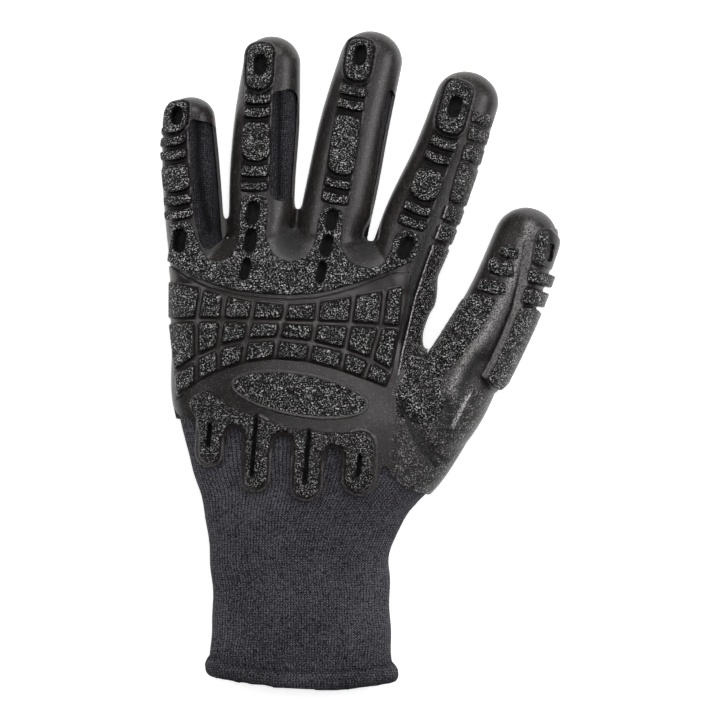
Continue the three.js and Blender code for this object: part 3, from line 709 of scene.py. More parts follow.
def finger_guard(name, guard):
    first, tip = guard.pads[0], guard.pads[-1]
    widest = min(pad.half for pad in guard.pads)
    whole = Pad(first.start, tip.start + STRIP_OVERLAP, widest)
    middle = pad_outline(guard, whole)
    strip = pad_outline(guard, whole, STRIP_MARGIN)
    pads = [pad_outline(guard, pad) for pad in guard.pads]
    ends = (guard.hole.y - guard.hole.reach, guard.hole.y + guard.hole.reach)
    hole = slot(*[(line_x(guard.line, y), y) for y in ends], guard.hole.half)
    outer = pad_outline(guard, tip, RIDGE_OUTER)
    inner = pad_outline(guard, tip, RIDGE_INNER)
    parts = [
        raised([strip], STRIP_TOP, FINGER_FLOOR),
        raised([outer], STRIP_TOP, FINGER_FLOOR),
        raised_ring(outer, inner, RIDGE_TOP, FINGER_FLOOR),
        raised(pads, PAD_TOP, FINGER_FLOOR),
    ]
    carvings = [([hole], RECESS_FLOOR)]
    piece = moulded(name + "_rubber", parts, voxel=0.36, carvings=carvings)
    points = mesh_points(piece)
    in_hole = share_inside(points, [hole])
    pebbled = share_inside(points, pads) * (1 - in_hole)
    gaps = share_inside(points, [middle, inner])
    right_side = points[:, 0] > line_x(guard.line, points[:, 1])
    edge = between(points, [strip], [*pads, middle]) * right_side
    rim = between(points, [outer], [inner])
    # Shade is painted into the hole and the gaps between the pads, and a highlight on the rims and
    # the strip's right edge.
    hollow = np.maximum(in_hole, GAP_SHADE * gaps * (1 - pebbled))
    return rubber_finish(piece, pebbled, hollow, RIM_PAINTED_HIGHLIGHT * np.maximum(edge, rim))


# The oval plate: its centre, half its length and width, and how far it is turned.
PLATE_X = -22.4
PLATE_Y = -12.9
PLATE_LONG = 26.2
PLATE_SHORT = 8.4
PLATE_TILT = -0.165
PLATE_RIM = 1.1
PLATE_TOP = 2.2
PLATE_FACE = 1.7
PLATE_FLOOR = 16
# How strongly a highlight is painted on the plate's rim.
PLATE_PAINTED_HIGHLIGHT = 0.1
PLATE_SIDES = 96


def plate_outline(margin):
    turn = np.linspace(0, 2 * math.pi, PLATE_SIDES, endpoint=False)
    along = (PLATE_LONG - margin) * np.cos(turn)
    across = (PLATE_SHORT - margin) * np.sin(turn)
    x = PLATE_X + along * math.cos(PLATE_TILT) - across * math.sin(PLATE_TILT)
    y = PLATE_Y + along * math.sin(PLATE_TILT) + across * math.cos(PLATE_TILT)
    return np.column_stack([x, y])


def oval_plate():
    face = plate_outline(PLATE_RIM)
    parts = [raised([plate_outline(0)], PLATE_TOP, PLATE_FLOOR)]
    carvings = [([face], PLATE_FACE)]
    piece = moulded("oval_plate_rubber", parts, voxel=0.38, smoothing=3, carvings=carvings)
    points = mesh_points(piece)
    rim = between(points, [plate_outline(0)], [face])
    # A highlight is painted on the plate's rim.
    return rubber_finish(piece, share_inside(points, [face]), painted_highlight=PLATE_PAINTED_HIGHLIGHT * rim)


# The four loops over the cuff: the top and bottom of each centre line, half the width of the
# raised pad, and the slot in it. A low rim runs round each.
Loop = namedtuple("Loop", "top end half slot_top slot_end")
LOOPS = [
    Loop((-56, -22), (-56.6, -34.8), 4, (-56.2, -24.6), (-57, -32)),
    Loop((-38.6, -26), (-39.4, -43.6), 4.6, (-38.6, -19), (-40.6, -43)),
    Loop((-19.6, -32), (-20.2, -46.6), 5, (-19, -25), (-20.6, -46)),
    Loop((0, -32), (-0.4, -44.2), 5.4, (0, -36.2), (-1, -43.4)),
]
# The gaps between the loops, where the knit shows: the round top and half the width.
Notch = namedtuple("Notch", "x top half")
NOTCHES = [
    Notch(-47, -25.3, 2.8),
    Notch(-29, -28.1, 3.1),
    Notch(-10, -33, 3.1),
    Notch(9, -39.9, 2.3),
]
FRINGE_TOP = 2.4
RIM_TOP = 1.1
RIM = 1.6
RIM_GROOVE = 0.5
SLOT_HALF = 0.9
SLOT_FLOOR = 0.1
FRINGE_GRAIN = 0.75
NOTCH_END_Y = -70
NOTCH_LEAN = 1
FRINGE_TOP_EDGE = [
    (4.6, -38), (1.4, -27.5), (-20, -26.5), (-29.5, -24.5), (-39, -21.5), (-48.5, -17.5),
    (-54.5, -13), (-58, -11), (-61, -12), (-64, -14.8),
]
FRINGE_LOW_EDGE = [
    (-64, -18), (-61.5, -22), (-60, -28), (-52, -28.5), (-44, -31), (-34, -33), (-24.5, -36),
    (-15, -38), (-5, -41), (4.6, -41),
]
EDGE_ROUND = 1.5
FRINGE_BAND = rounded(FRINGE_TOP_EDGE + FRINGE_LOW_EDGE, EDGE_ROUND)


def notch_outlines(margin):
    return [
        slot((n.x, n.top - n.half), (n.x - NOTCH_LEAN, NOTCH_END_Y), n.half + margin)
        for n in NOTCHES
    ]


def loop_outlines(margin):
    return [slot(loop.top, loop.end, loop.half + margin) for loop in LOOPS]


def fringe_solid(margin):
    """Upright solids over the band and the loops below it, wider by a margin."""
    solid = prisms([FRINGE_BAND])
    for loop in loop_outlines(margin):
        using_up(solid, prisms([loop]), "UNION")
    return using_up(solid, prisms(notch_outlines(RIM - margin)))


def cuff_fringe():
    pad = combined(fringe_solid(0), hand_form(FRINGE_TOP), "INTERSECT")
    rim = combined(fringe_solid(RIM), hand_form(RIM_TOP), "INTERSECT")
    using_up(rim, combined(fringe_solid(RIM_GROOVE), hand_form(0), "DIFFERENCE"))
    slots = [slot(loop.slot_top, loop.slot_end, SLOT_HALF) for loop in LOOPS]
    carvings = [(slots, SLOT_FLOOR)]
    piece = moulded("cuff_fringe_rubber", [pad, rim], voxel=0.42, smoothing=3, carvings=carvings)
    points = mesh_points(piece)
    in_slot = share_inside(points, slots)
    smooth = np.maximum(in_slot, share_inside(points, notch_outlines(RIM)))
    rims = between(points, loop_outlines(RIM), [FRINGE_BAND, *loop_outlines(RIM_GROOVE)])
    pebbled = FRINGE_GRAIN * share_inside(points, [FRINGE_BAND, *loop_outlines(0)]) * (1 - smooth)
    # Shade is painted into the slots, and a highlight on the rims.
    return rubber_finish(piece, pebbled, in_slot, RIM_PAINTED_HIGHLIGHT * rims)


# The edge of the rubber skin over the wrist, from the little finger's side to the thumb's, and
# two places beyond the fingertips that close it. The palm coating has an edge of its own.
SKIN_LOW_EDGE = [
    (-80, -17), (-71, -17.2), (-68.5, -21), (-64.5, -21.6), (-61.6, -25.5), (-61, -30),
    (-50, -31), (-42, -33), (-34, -34), (-26, -37), (-15, -40), (-6, -43), (4, -44),
    (12, -43), (16.7, -48.3), (26, -51), (80, -52),
]
BEYOND_TIPS = [(CLEAR_RIGHT, CLEAR_BACK), (CLEAR_LEFT, CLEAR_BACK)]
COATING_LOW_EDGE = [(-80, -20), (-66, -23), (-60, -40), (-50, -50), (80, -50)]
# Where the knit shows along the thumb side of three fingers.
WINDOWS = [
    [
        (-65.2, 88.5), (-63.4, 91.4), (-60.5, 90.5), (-57, 90), (-54, 88), (-53.4, 76), (-52.2, 64),
        (-51, 53), (-50.2, 48.4), (-52, 45.4), (-55, 43.4), (-58.4, 42.2), (-60.6, 45), (-62, 52),
        (-63.6, 58), (-64.8, 66),
    ],
    [
        (-34.2, 64), (-34.4, 97), (-32.8, 101.4), (-29.6, 101.6), (-27.6, 102.6), (-25.2, 102.4),
        (-23.4, 100), (-22.6, 80), (-23.6, 64), (-25.4, 61), (-30, 59.6), (-33, 60.6),
    ],
    [
        (9.8, 100.6), (11.2, 102.6), (12.9, 101.6), (14, 99), (11.8, 86), (9.6, 72), (7.3, 58.5),
        (5.5, 53.5), (4, 54.5), (4.2, 58.5), (6, 72), (8, 86), (9.4, 96),
    ],
]
WINDOW_CORNER = 2
# Where the palm coating meets the back skin: the height of the seam along the hand.
SEAM = [(-140, 13.5), (20, 14.5), (60, 13), (130, 9)]
FAR = 160


def seam_solid():
    """The space below the seam between the palm coating and the back skin."""
    profile = SEAM + [(FAR, -FAR), (-FAR, -FAR)]
    return tubes("seam", [np.array([[(x, y, z) for y, z in profile] for x in (-FAR, FAR)])])


def sheath(name, outer, inner, cutters):
    """The wall between two sizes of the hand form, kept or cut by the given solids."""
    piece = copy_of(outer, name)
    for solid, operation in cutters:
        using_up(piece, solid, operation)
    return combined(piece, inner, "DIFFERENCE")


# Low forms of the soft skin and the knit: a line, how far it reaches, and how high it rises.
Relief = namedtuple("Relief", "line reach height")
THUMB_CREST = [
    (64.5, 50.5), (61.2, 43), (57.6, 32), (52.6, 20.5), (47.4, 10.5), (41.8, 3.2), (37.4, -4),
    (34.6, -11),
]
HEEL_RIDGE = [(41.5, -11.7), (38, -18.6), (34.3, -25.8)]
SKIN_RELIEF = [
    Relief(THUMB_CREST, 4.6, 1.1),
    Relief([(45, -1), (42.5, -6), (38, -13)], 3, -0.8),
    Relief(HEEL_RIDGE, 0.9, 0.6),
    Relief([(16.4, -16), (17.2, -22)], 1.8, -0.8),
]
# Furrows and hollows of the skin that lie in shade.
HEEL_FURROWS = [
    Relief([(15.6, -16), (17.8, -23.2), (20.4, -29), (23.8, -34.6), (28.4, -39.4)], 1.1, -0.8),
    Relief([(20, -21.4), (23.2, -29.4), (27, -34.4), (31.8, -37.8)], 0.9, -0.7),
]
THUMB_HOLLOWS = [
    Relief([(44, 2), (40.8, -3.6), (38, -11)], 2.3, -0.3),
    Relief([(32.4, -17.6), (33, -27)], 1.7, -0.5),
]
INDEX_CHANNEL = Relief(
    [(15.6, 8), (17.4, 20), (20.6, 33), (25.6, 48), (31, 64), (36.4, 80)], 2, -0.5,
)
# The highlight painted along the thumb's crest: how far it reaches and how strong it is.
SHINE_REACH = 2.1
PAINTED_SHINE = 0.4
HOLLOW_SHADE = 0.65
# The bowls between the roots of the fingers.
BOWLS = [
    Relief([(-26.4, 43), (-26.3, 48)], 4.8, -1.3),
    Relief([(2.2, 41), (2.5, 47)], 5, -1.3),
    Relief([(-56.5, 43.5), (-56, 48)], 3.4, -1),
]
KNIT_FURROWS = [
    Relief([(-61.6, 90), (-61, 75), (-59.4, 60), (-56.8, 49)], 1.6, -0.8),
    Relief([(-30.4, 101), (-30.4, 62)], 1.1, -0.6),
]


def nearness(points, relief):
    return np.exp(-((line_distance(points, relief.line) / relief.reach) ** 2))


def shape_relief(piece, reliefs):
    """Raises or lowers the upper side of a piece along some lines."""
    points = mesh_points(piece)
    height = sum(relief.height * nearness(points, relief) for relief in reliefs)
    raise_points(piece, height * (mesh_normals(piece)[:, 2] > 0))


def skin_shade(points, places):
    """How dark the shaded places of the skin are at each point."""
    shade = HOLLOW_SHADE * sum(nearness(points, place) for place in places)
    furrows = sum(nearness(points, furrow) for furrow in HEEL_FURROWS)
    return np.clip(shade + furrows, 0, 1)


# The heel of the thumb, where the skin itself is pebbled, and the faint grain of the rest.
HEEL = [
    (11, -8), (20, -3), (34, -3), (44, -8), (56, -16), (60, -54), (12, -54), (10.4, -44),
    (9.6, -38), (11.6, -24),
]
HEEL_GRAIN = 0.6
HEEL_FADE = 3.5
SKIN_GRAIN = 0.12
HEEL_RIDGE_HALF = 0.6


def back_skin():
    edge = prisms([rounded(SKIN_LOW_EDGE, EDGE_ROUND) + BEYOND_TIPS])
    using_up(edge, fringe_solid(RIM), "UNION")
    using_up(edge, prisms(notch_outlines(0)))
    windows = prisms([rounded(window, WINDOW_CORNER) for window in WINDOWS])
    piece = sheath("back_skin_rubber", hand_form(0), hand_form(SKIN_INSIDE, voxel=INNER_VOXEL), [
        (edge, "INTERSECT"), (windows, "DIFFERENCE"), (seam_solid(), "DIFFERENCE"),
    ])
    shaded = [*HEEL_FURROWS, *THUMB_HOLLOWS, INDEX_CHANNEL]
    shape_relief(piece, SKIN_RELIEF + shaded + BOWLS)
    points = mesh_points(piece)
    heel = HEEL_GRAIN * share_inside(points, [HEEL], HEEL_FADE)
    # A highlight is painted on the heel ridge and along the thumb's crest, and shade into the
    # skin's hollows.
    crest = between(points, [ribbon(HEEL_RIDGE, HEEL_RIDGE_HALF)], [])
    shine = PAINTED_SHINE * nearness(points, Relief(THUMB_CREST, SHINE_REACH, 0))
    shade = skin_shade(points, [*THUMB_HOLLOWS, INDEX_CHANNEL, *BOWLS])
    return rubber_finish(piece, np.maximum(heel, SKIN_GRAIN), shade, np.maximum(crest, shine))


def palm_coating():
    edge = prisms([COATING_LOW_EDGE + BEYOND_TIPS], UNDERGROUND)
    return sheath("palm_coating_rubber", hand_form(0), hand_form(SKIN_INSIDE, voxel=INNER_VOXEL), [
        (edge, "INTERSECT"), (seam_solid(), "INTERSECT"),
    ])


# The knit, with a rolled hem at the cuff's end. The hem's profile is how far its outer face
# moves out at each y: the roll, the crease above it, and where it runs out into the knit.
HEM_TOP_Y = -109
HEM_PROFILE = [
    (-125, -0.5), (-123, 0.1), (-120.5, 0.2), (-118.8, -0.5), (-117.4, -1.5), (-115, -1.6),
    (-109, -2.4),
]
HEM_UPRIGHT = 0.1
HEM_VOXEL = 0.6
HEM_SMOOTHING = 6
CUTTER_REACH = 12
CUFF_CENTRE_Z = 12.5
# The slack cuff's ripples: their height, the two waves' lengths and slants, the second wave's
# share, and where they begin.
WRINKLE = 0.3
LONG_WAVE = 6.1
SHORT_WAVE = 2.9
LONG_SLANT = 13
SHORT_SLANT = 17
LONG_SWAY = 1.1
SHORT_SHARE = 0.7
WRINKLE_START_Y = -28
WRINKLE_FADE = 20


def bowed(points):
    """How far the cuff's end curves up at each point."""
    return BODY[0].bow * (points[:, 0] - CUFF_CENTRE_X) ** 2


def knit_liner():
    inner = hand_form(KNIT_INSIDE, CUTTER_REACH, INNER_VOXEL)
    piece = sheath("liner_knit", hand_form(KNIT_OUTSIDE, voxel=LINER_VOXEL), inner, [])
    shape_relief(piece, KNIT_FURROWS + BOWLS)
    return piece


def cuff_hem():
    inner = hand_form(KNIT_INSIDE, CUTTER_REACH, INNER_VOXEL)
    edge = prisms([[
        (CLEAR_LEFT, CLEAR_FRONT), (CLEAR_RIGHT, CLEAR_FRONT),
        (CLEAR_RIGHT, HEM_TOP_Y), (CLEAR_LEFT, HEM_TOP_Y),
    ]], UNDERGROUND)
    hem = sheath("cuff_hem_knit", hand_form(0), inner, [(edge, "INTERSECT")])
    remeshed(hem, HEM_VOXEL, HEM_SMOOTHING)
    points = mesh_points(hem)
    outwards = mesh_normals(hem)
    outwards[:, 1] = 0
    outwards[:, 2] += HEM_UPRIGHT * np.sign(points[:, 2] - CUFF_CENTRE_Z)
    outwards /= np.linalg.norm(outwards, axis=1)[:, None]
    centre = np.array([CUFF_CENTRE_X, 0, CUFF_CENTRE_Z])
    outer = ((points - centre) * outwards)[:, [0, 2]].sum(axis=1) > 0
    profile_y, profile_rise = np.array(HEM_PROFILE).T
    rise = np.interp(points[:, 1] - bowed(points), profile_y, profile_rise) * outer
    move_points(hem, points + outwards * rise[:, None])
    return hem


def wrinkle_knit(piece):
    """Lets the knitted cuff ripple a little, as slack knit does."""
    x, y, _ = mesh_points(piece).T
    long = np.sin(y / LONG_WAVE + LONG_SWAY * np.sin(x / LONG_SLANT))
    short = SHORT_SHARE * np.sin(y / SHORT_WAVE - x / SHORT_SLANT)
    fade = np.clip((WRINKLE_START_Y - y) / WRINKLE_FADE, 0, 1)
    raise_points(piece, WRINKLE * (long + short) * fade)


# The notched strip down the index finger's thumb side, as low blocks on a thin strip.
SIDE_LINE = [
    (14.2, -6.3), (15.9, 2.5), (18.1, 11.6), (20.8, 23), (24.2, 33.6), (28.1, 44.7), (30.5, 51),
    (33.8, 61), (36.6, 72), (39.6, 81), (42.8, 94.6),
]
Block = namedtuple("Block", "start end heel", defaults=(None,))
SIDE_BLOCKS = [
    Block(-6, 43.5, (25.5, 0.5)),
    Block(45.4, 51),
    Block(53, 58.4),
    Block(60.2, 74),
    Block(76, 81.6),
    Block(83.6, 88.4),
    Block(90.4, 94.4),
]
SIDE_REACH = 14
SIDE_SLANT = 4
SIDE_CORNER = 0.6
SIDE_TOP = 0.95
SIDE_BASE_TOP = 0.2
CREST_HALF = 0.42
SIDE_RIDGE_HALF = 0.35
SIDE_RIDGE_TOP = 1.7
CRESTED_BLOCKS = 3
SIDE_GRAIN = 0.75
SIDE_CLEARANCE = 1.3
SIDE_GAP_GRAIN = 0.4
SIDE_GAP_SHADE = 0.3
# Where the strip runs out into the skin at its lower end, and how gradually.
SIDE_START_Y = -6
SIDE_FADE = 16


def side_edge(block):
    """The strip's inner edge beside a block, from the block's far end to its near end."""
    middle = [y for _, y in SIDE_LINE if block.start < y < block.end]
    return [(line_x(SIDE_LINE, y), y) for y in [block.end, *middle[::-1], block.start]]


def side_block_outline(block):
    inner = side_edge(block)
    low_corner = block.heel or (inner[-1][0] + SIDE_REACH, block.start - SIDE_SLANT)
    high_corner = (inner[0][0] + SIDE_REACH, block.end - SIDE_SLANT)
    return rounded([*inner, low_corner, high_corner], SIDE_CORNER)


def index_side_guard():
    strip = side_block_outline(Block(SIDE_BLOCKS[0].start, SIDE_BLOCKS[-1].end))
    blocks = [side_block_outline(block) for block in SIDE_BLOCKS]
    parts = [
        raised([strip], SIDE_BASE_TOP, TILE_FLOOR),
        raised(blocks, SIDE_TOP, TILE_FLOOR),
    ]
    thumb = remeshed(tubes("thumb", [digit_rings(THUMB, SIDE_CLEARANCE)]), FORM_VOXEL, smoothing=2)
    for part in parts:
        combined(part, thumb, "DIFFERENCE")
    remove(thumb)
    edges = [side_edge(block) for block in SIDE_BLOCKS[:CRESTED_BLOCKS]]
    ridges = [ribbon(edge, SIDE_RIDGE_HALF) for edge in edges]
    parts.append(raised(ridges, SIDE_RIDGE_TOP, TILE_FLOOR))
    piece = moulded("index_side_guard_rubber", parts)
    points = mesh_points(piece)
    run_out(piece, np.clip((points[:, 1] - SIDE_START_Y) / SIDE_FADE, 0, 1), SIDE_TOP)
    on_blocks = share_inside(points, blocks)
    gaps = share_inside(points, [strip]) * (1 - on_blocks)
    crests = between(points, [ribbon(edge, CREST_HALF) for edge in edges], [])
    pebbled = SIDE_GRAIN * on_blocks + SIDE_GAP_GRAIN * gaps
    # Shade is painted into the gaps between the blocks, and a highlight on the crest lines.
    return rubber_finish(piece, pebbled, SIDE_GAP_SHADE * gaps, crests)


# The guard along the thumb's outer edge: corners of the long bar, two short bars and the cap.
THUMB_PADS = [
    [
        (59.9, 19.6), (66, 19.8), (69.5, 17.2), (80, 12), (80, 5), (58, -7.6), (53, -11.8),
        (49.8, -10), (47.6, -6.6), (50.6, -1.8), (55.5, 8.8),
    ],
    [(60.3, 21.8), (62, 27.6), (80, 23), (80, 17.8)],
    [(62.6, 29.8), (63.4, 34.6), (80, 30.2), (80, 25.6)],
]
THUMB_CAP = [(65.2, 36.6), (65.9, 46.6), (68.2, 49.4), (72, 50), (75, 47), (80, 42), (80, 32.4)]
THUMB_CAP_GRAIN = [(65.6, 36.6), (66.2, 46.6), (68.6, 48.6), (71.4, 47.4), (70.4, 41), (70, 35.4)]
THUMB_STRIP = [
    (48.4, -11.5), (46.4, -6), (59.2, 19), (64.2, 47), (68, 50), (80, 50), (80, 4), (57, -9),
    (53, -13),
]
THUMB_RIDGE = [
    (63.6, 45), (61.4, 30), (58.9, 18.9), (54.8, 8.6), (50.2, -1.2), (46.9, -7),
]
THUMB_SLOT = Slot((71.4, 38.4), (72, 43), 1.2)
THUMB_GUARD_FLOOR = 7
THUMB_CORNER = 1.4
THUMB_TOP = 3.2
CAP_TOP = 1.1
CAP_FLOOR = -0.3
THUMB_RIDGE_HALF = 1.9
THUMB_RIDGE_TOP = 2.5
# How strongly a highlight is painted on the ridge beside the thumb's pads.
THUMB_RIDGE_PAINTED_HIGHLIGHT = 0.2


def thumb_guard():
    pads = [rounded(pad, THUMB_CORNER) for pad in THUMB_PADS]
    ridge = ribbon(THUMB_RIDGE, THUMB_RIDGE_HALF)
    parts = [
        raised([rounded(THUMB_STRIP, THUMB_CORNER)], STRIP_TOP, THUMB_GUARD_FLOOR),
        raised([ridge], THUMB_RIDGE_TOP, THUMB_GUARD_FLOOR),
        raised(pads, THUMB_TOP, THUMB_GUARD_FLOOR),
        raised([rounded(THUMB_CAP, THUMB_CORNER)], CAP_TOP, THUMB_GUARD_FLOOR),
    ]
    hole = slot(THUMB_SLOT.start, THUMB_SLOT.end, THUMB_SLOT.half)
    carvings = [([hole], CAP_FLOOR)]
    piece = moulded("thumb_guard_rubber", parts, carvings=carvings)
    points = mesh_points(piece)
    in_hole = share_inside(points, [hole])
    pebbled = share_inside(points, [*pads, THUMB_CAP_GRAIN]) * (1 - in_hole)
    # Shade is painted into the slot, and a highlight on the ridge beside the pads.
    painted_highlight = THUMB_RIDGE_PAINTED_HIGHLIGHT * between(points, [ridge], pads)
    return rubber_finish(piece, pebbled, in_hole, painted_highlight)


# The pebbled field on the thumb's inner side and its root, with three blocks towards the tip.
THUMB_FIELD = [
    (52.2, 22.4), (44, 25.4), (36, 22), (24.6, 1), (18, 2), (14.4, -5), (11.6, -10.4),
    (10.6, -12.4), (11.6, -22), (20, -27), (30, -25), (36, -16), (34.8, -9), (36.7, -3),
    (41.4, 4.8), (46.4, 11.8),
]
# Where the field runs out into the smooth skin, and how gradually.
FIELD_END = [(14.4, -5), (10.6, -12.4), (11.6, -22), (20, -27), (30, -25), (36, -16), (34.8, -9)]
FIELD_FADE = 12
THUMB_BLOCKS = [
    [(44.2, 26.6), (45.6, 30.8), (54.6, 29.2), (55, 24.2), (49.6, 24.8)],
    [(48.2, 33.4), (48.4, 37.6), (50.4, 38.6), (57.8, 36.9), (58, 31), (53.4, 31.6)],
    [(52.2, 40.4), (53, 43), (56.8, 43.8), (59.9, 41), (59.6, 38), (54, 38.6)],
]
THUMB_RIB = [(44, 20), (51, 41), (54.6, 41.4), (50.4, 22)]
FIELD_CORNER = 2
BLOCK_CORNER = 0.8
RIB_CORNER = 1
FIELD_TOP = 0.9
FIELD_FLOOR = 17
THUMB_BLOCK_TOP = 2.0
THUMB_BLOCK_FLOOR = 12


def thumb_field():
    field = rounded(THUMB_FIELD, FIELD_CORNER)
    blocks = [rounded(block, BLOCK_CORNER) for block in THUMB_BLOCKS]
    parts = [
        raised([field], FIELD_TOP, FIELD_FLOOR),
        raised([rounded(THUMB_RIB, RIB_CORNER)], STRIP_TOP, THUMB_BLOCK_FLOOR),
        raised(blocks, THUMB_BLOCK_TOP, THUMB_BLOCK_FLOOR),
    ]
    piece = moulded("thumb_field_rubber", parts, smoothing=4)
    away = line_distance(mesh_points(piece), FIELD_END)
    run_out(piece, np.clip(away / FIELD_FADE, 0, 1), FIELD_TOP)
    shape_relief(piece, SKIN_RELIEF[1:] + THUMB_HOLLOWS + HEEL_FURROWS)
    points = mesh_points(piece)
    # Shade is painted into the thumb's hollows and the heel's furrows.
    shade = skin_shade(points, THUMB_HOLLOWS)
    return rubber_finish(piece, share_inside(points, [field, *blocks]), shade)


# Where a stitch lies: how far round the section and how far along the glove, in millimetres,
# and how much of it lies in shade.
STITCH_FINGERS_Y = 36
FINGER_SHADE = 0.52
FURROW_SHADE = 0.45
HEM_SHADE = [
    (-125, 0.8), (-123, 0.55), (-121, 0.3), (-119, 0.3), (-117.6, 0.6), (-116, 0.25), (-104, 0),
]


def round_the_hand(x, y, z):
    """How far round the cuff or the hand a place is, at the size of the cuff's own section."""
    rows = finer(BODY, ROW_STEP)
    left, right, low, high = (np.interp(y, rows[:, 0], column) for column in rows.T[1:5])
    share_x = (x - (left + right) / 2) / ((right - left) / 2)
    share_z = (z - (low + high) / 2) / ((high - low) / 2)
    across, up = section_shares(BODY_SQUARENESS)
    cuff = BODY[1]
    half_wide = (cuff.right - cuff.left) / 2
    half_tall = (cuff.high - cuff.low) / 2
    ring_turn = np.arctan2(across, up)
    order = np.argsort(ring_turn)
    ring = np.stack([across * half_wide, up * half_tall], axis=1)[order]
    length = np.append(0, np.cumsum(np.linalg.norm(np.diff(ring, axis=0), axis=1)))
    return np.interp(np.arctan2(share_x, share_z), ring_turn[order], length)


def round_a_finger(x, y, z):
    """How far round the nearest of the three knitted fingers a place is."""
    centres = []
    for digit in (LITTLE, RING, MIDDLE):
        rows = np.array(digit.rows, float).T
        centres.append([np.interp(y, rows[0], column) for column in rows[1:4]])
    centres = np.array(centres)
    nearest = np.abs(x - centres[:, 0]).argmin(axis=0)
    centre_x, centre_z, wide = centres[nearest, :, np.arange(len(x))].T
    return wide.mean() * np.arctan2(x - centre_x, z - centre_z)


def stitch_places(points):
    x, y, z = points.T
    on_finger = y > STITCH_FINGERS_Y
    around = np.where(on_finger, round_a_finger(x, y, z), round_the_hand(x, y, z))
    furrows = sum(nearness(points, furrow) for furrow in KNIT_FURROWS)
    hem_y, hem_dark = np.array(HEM_SHADE).T
    hem_shade = np.interp(y - bowed(points), hem_y, hem_dark)
    shade = np.clip(FINGER_SHADE * on_finger + FURROW_SHADE * furrows + hem_shade, 0, 1)
    return np.column_stack([around, y, shade])


# Materials
def new_material(name, **values):
    material = bpy.data.materials.new(name)
    material.use_nodes = True
    shader = material.node_tree.nodes["Principled BSDF"]
    for socket, value in values.items():
        shader.inputs[socket.replace("_", " ")].default_value = value
    return material, shader


class Tree:
    """Short ways to add nodes to a material."""

    def __init__(self, material):
        self.nodes = material.node_tree.nodes
        self.links = material.node_tree.links

    def node(self, kind, inputs=(), **settings):
        node = self.nodes.new(kind)
        for setting, value in settings.items():
            setattr(node, setting, value)
        for socket, value in dict(inputs).items():
            if isinstance(value, bpy.types.NodeSocket):
                self.links.new(value, node.inputs[socket])
            else:
                node.inputs[socket].default_value = value
        return node

    def math(self, operation, a, b=0.0, c=0.0):
        return self.node("ShaderNodeMath", {0: a, 1: b, 2: c}, operation=operation).outputs[0]

    def add(self, a, b):
        return self.math("ADD", a, b)

    def times(self, a, b):
        return self.math("MULTIPLY", a, b)

    def attribute(self, name, output):
        return self.node("ShaderNodeAttribute", attribute_name=name).outputs[output]

    def place(self):
        return self.node("ShaderNodeTexCoord").outputs["Object"]

    def noise(self, scale, detail=2.0, roughness=0.5):
        return self.node("ShaderNodeTexNoise", {
            "Vector": self.place(), "Scale": scale, "Detail": detail, "Roughness": roughness,
        }).outputs["Fac"]

    def ramp(self, value, start, end, low=0.0, high=1.0):
        """A value spread from one range over another, and kept within it."""
        return self.node("ShaderNodeMapRange", {
            "Value": value, "From Min": start, "From Max": end, "To Min": low, "To Max": high,
        }).outputs["Result"]

    def mix(self, share, low, high):
        return self.node("ShaderNodeMix", {0: share, 2: low, 3: high}).outputs[0]

    def blend(self, share, low, high):
        """A colour between two, each a colour or a node's output."""
        sources = [(*c, 1) if isinstance(c, tuple) else c for c in (low, high)]
        mix = self.node("ShaderNodeMix", {0: share, 6: sources[0], 7: sources[1]}, data_type="RGBA")
        return mix.outputs[2]

    def bump(self, height, strength, distance):
        return self.node("ShaderNodeBump", {
            "Height": height, "Strength": strength, "Distance": distance,
        }).outputs["Normal"]

    def join(self, value, socket):
        self.links.new(value, socket)


# The rubber: its colours, among them near-white painted glints and painted highlights and
# near-black painted shade, the scales and depths of its noises, and what they are spread from and
# over.
SATIN_DARK = (0.016, 0.0125, 0.0125)
SATIN_LIGHT = (0.027, 0.0205, 0.0205)
# The pebbled rubber's black between the glints: its own colour, made darker by shade painted into
# the pits.
PIT_BLACK_AND_SHADE = (0.001, 0.0009, 0.0009)
# Near white for the glints painted into the pebbled rubber's colour.
PAINTED_GLINT_COLOUR = (0.95, 0.93, 0.935)
# Near white for the highlights painted on crests, broken up by the specks.
PAINTED_HIGHLIGHT_COLOUR = (0.86, 0.83, 0.83)
# Near black for the shade painted into hollows, recesses, slots and gaps.
PAINTED_SHADE_COLOUR = (0.002, 0.002, 0.002)
SPECK_SCALE = 1950
SPECK_DEPTH = 0.0006
PAINTED_GLINT_RANGE = (0.555, 0.635)
PAINTED_HIGHLIGHT_RANGE = (0.42, 0.55)
FINE_GRAIN_SCALE = 1900
FINE_GRAIN_DEPTH = 0.00004
PATCH_SCALE = 420
PATCH_RANGE = (0.35, 0.65, 0.25, 1.0)
MOTTLE_SCALE = 120
MOTTLE_RANGE = (0.3, 0.7)
SATIN_ROUGHNESS = (0.3, 0.35)
PEBBLED_ROUGHNESS = 0.24
PAINTED_SHADE_ROUGHNESS = 0.3
SMOOTH_SPECULAR = 0.5
PEBBLED_SPECULAR = 0.22


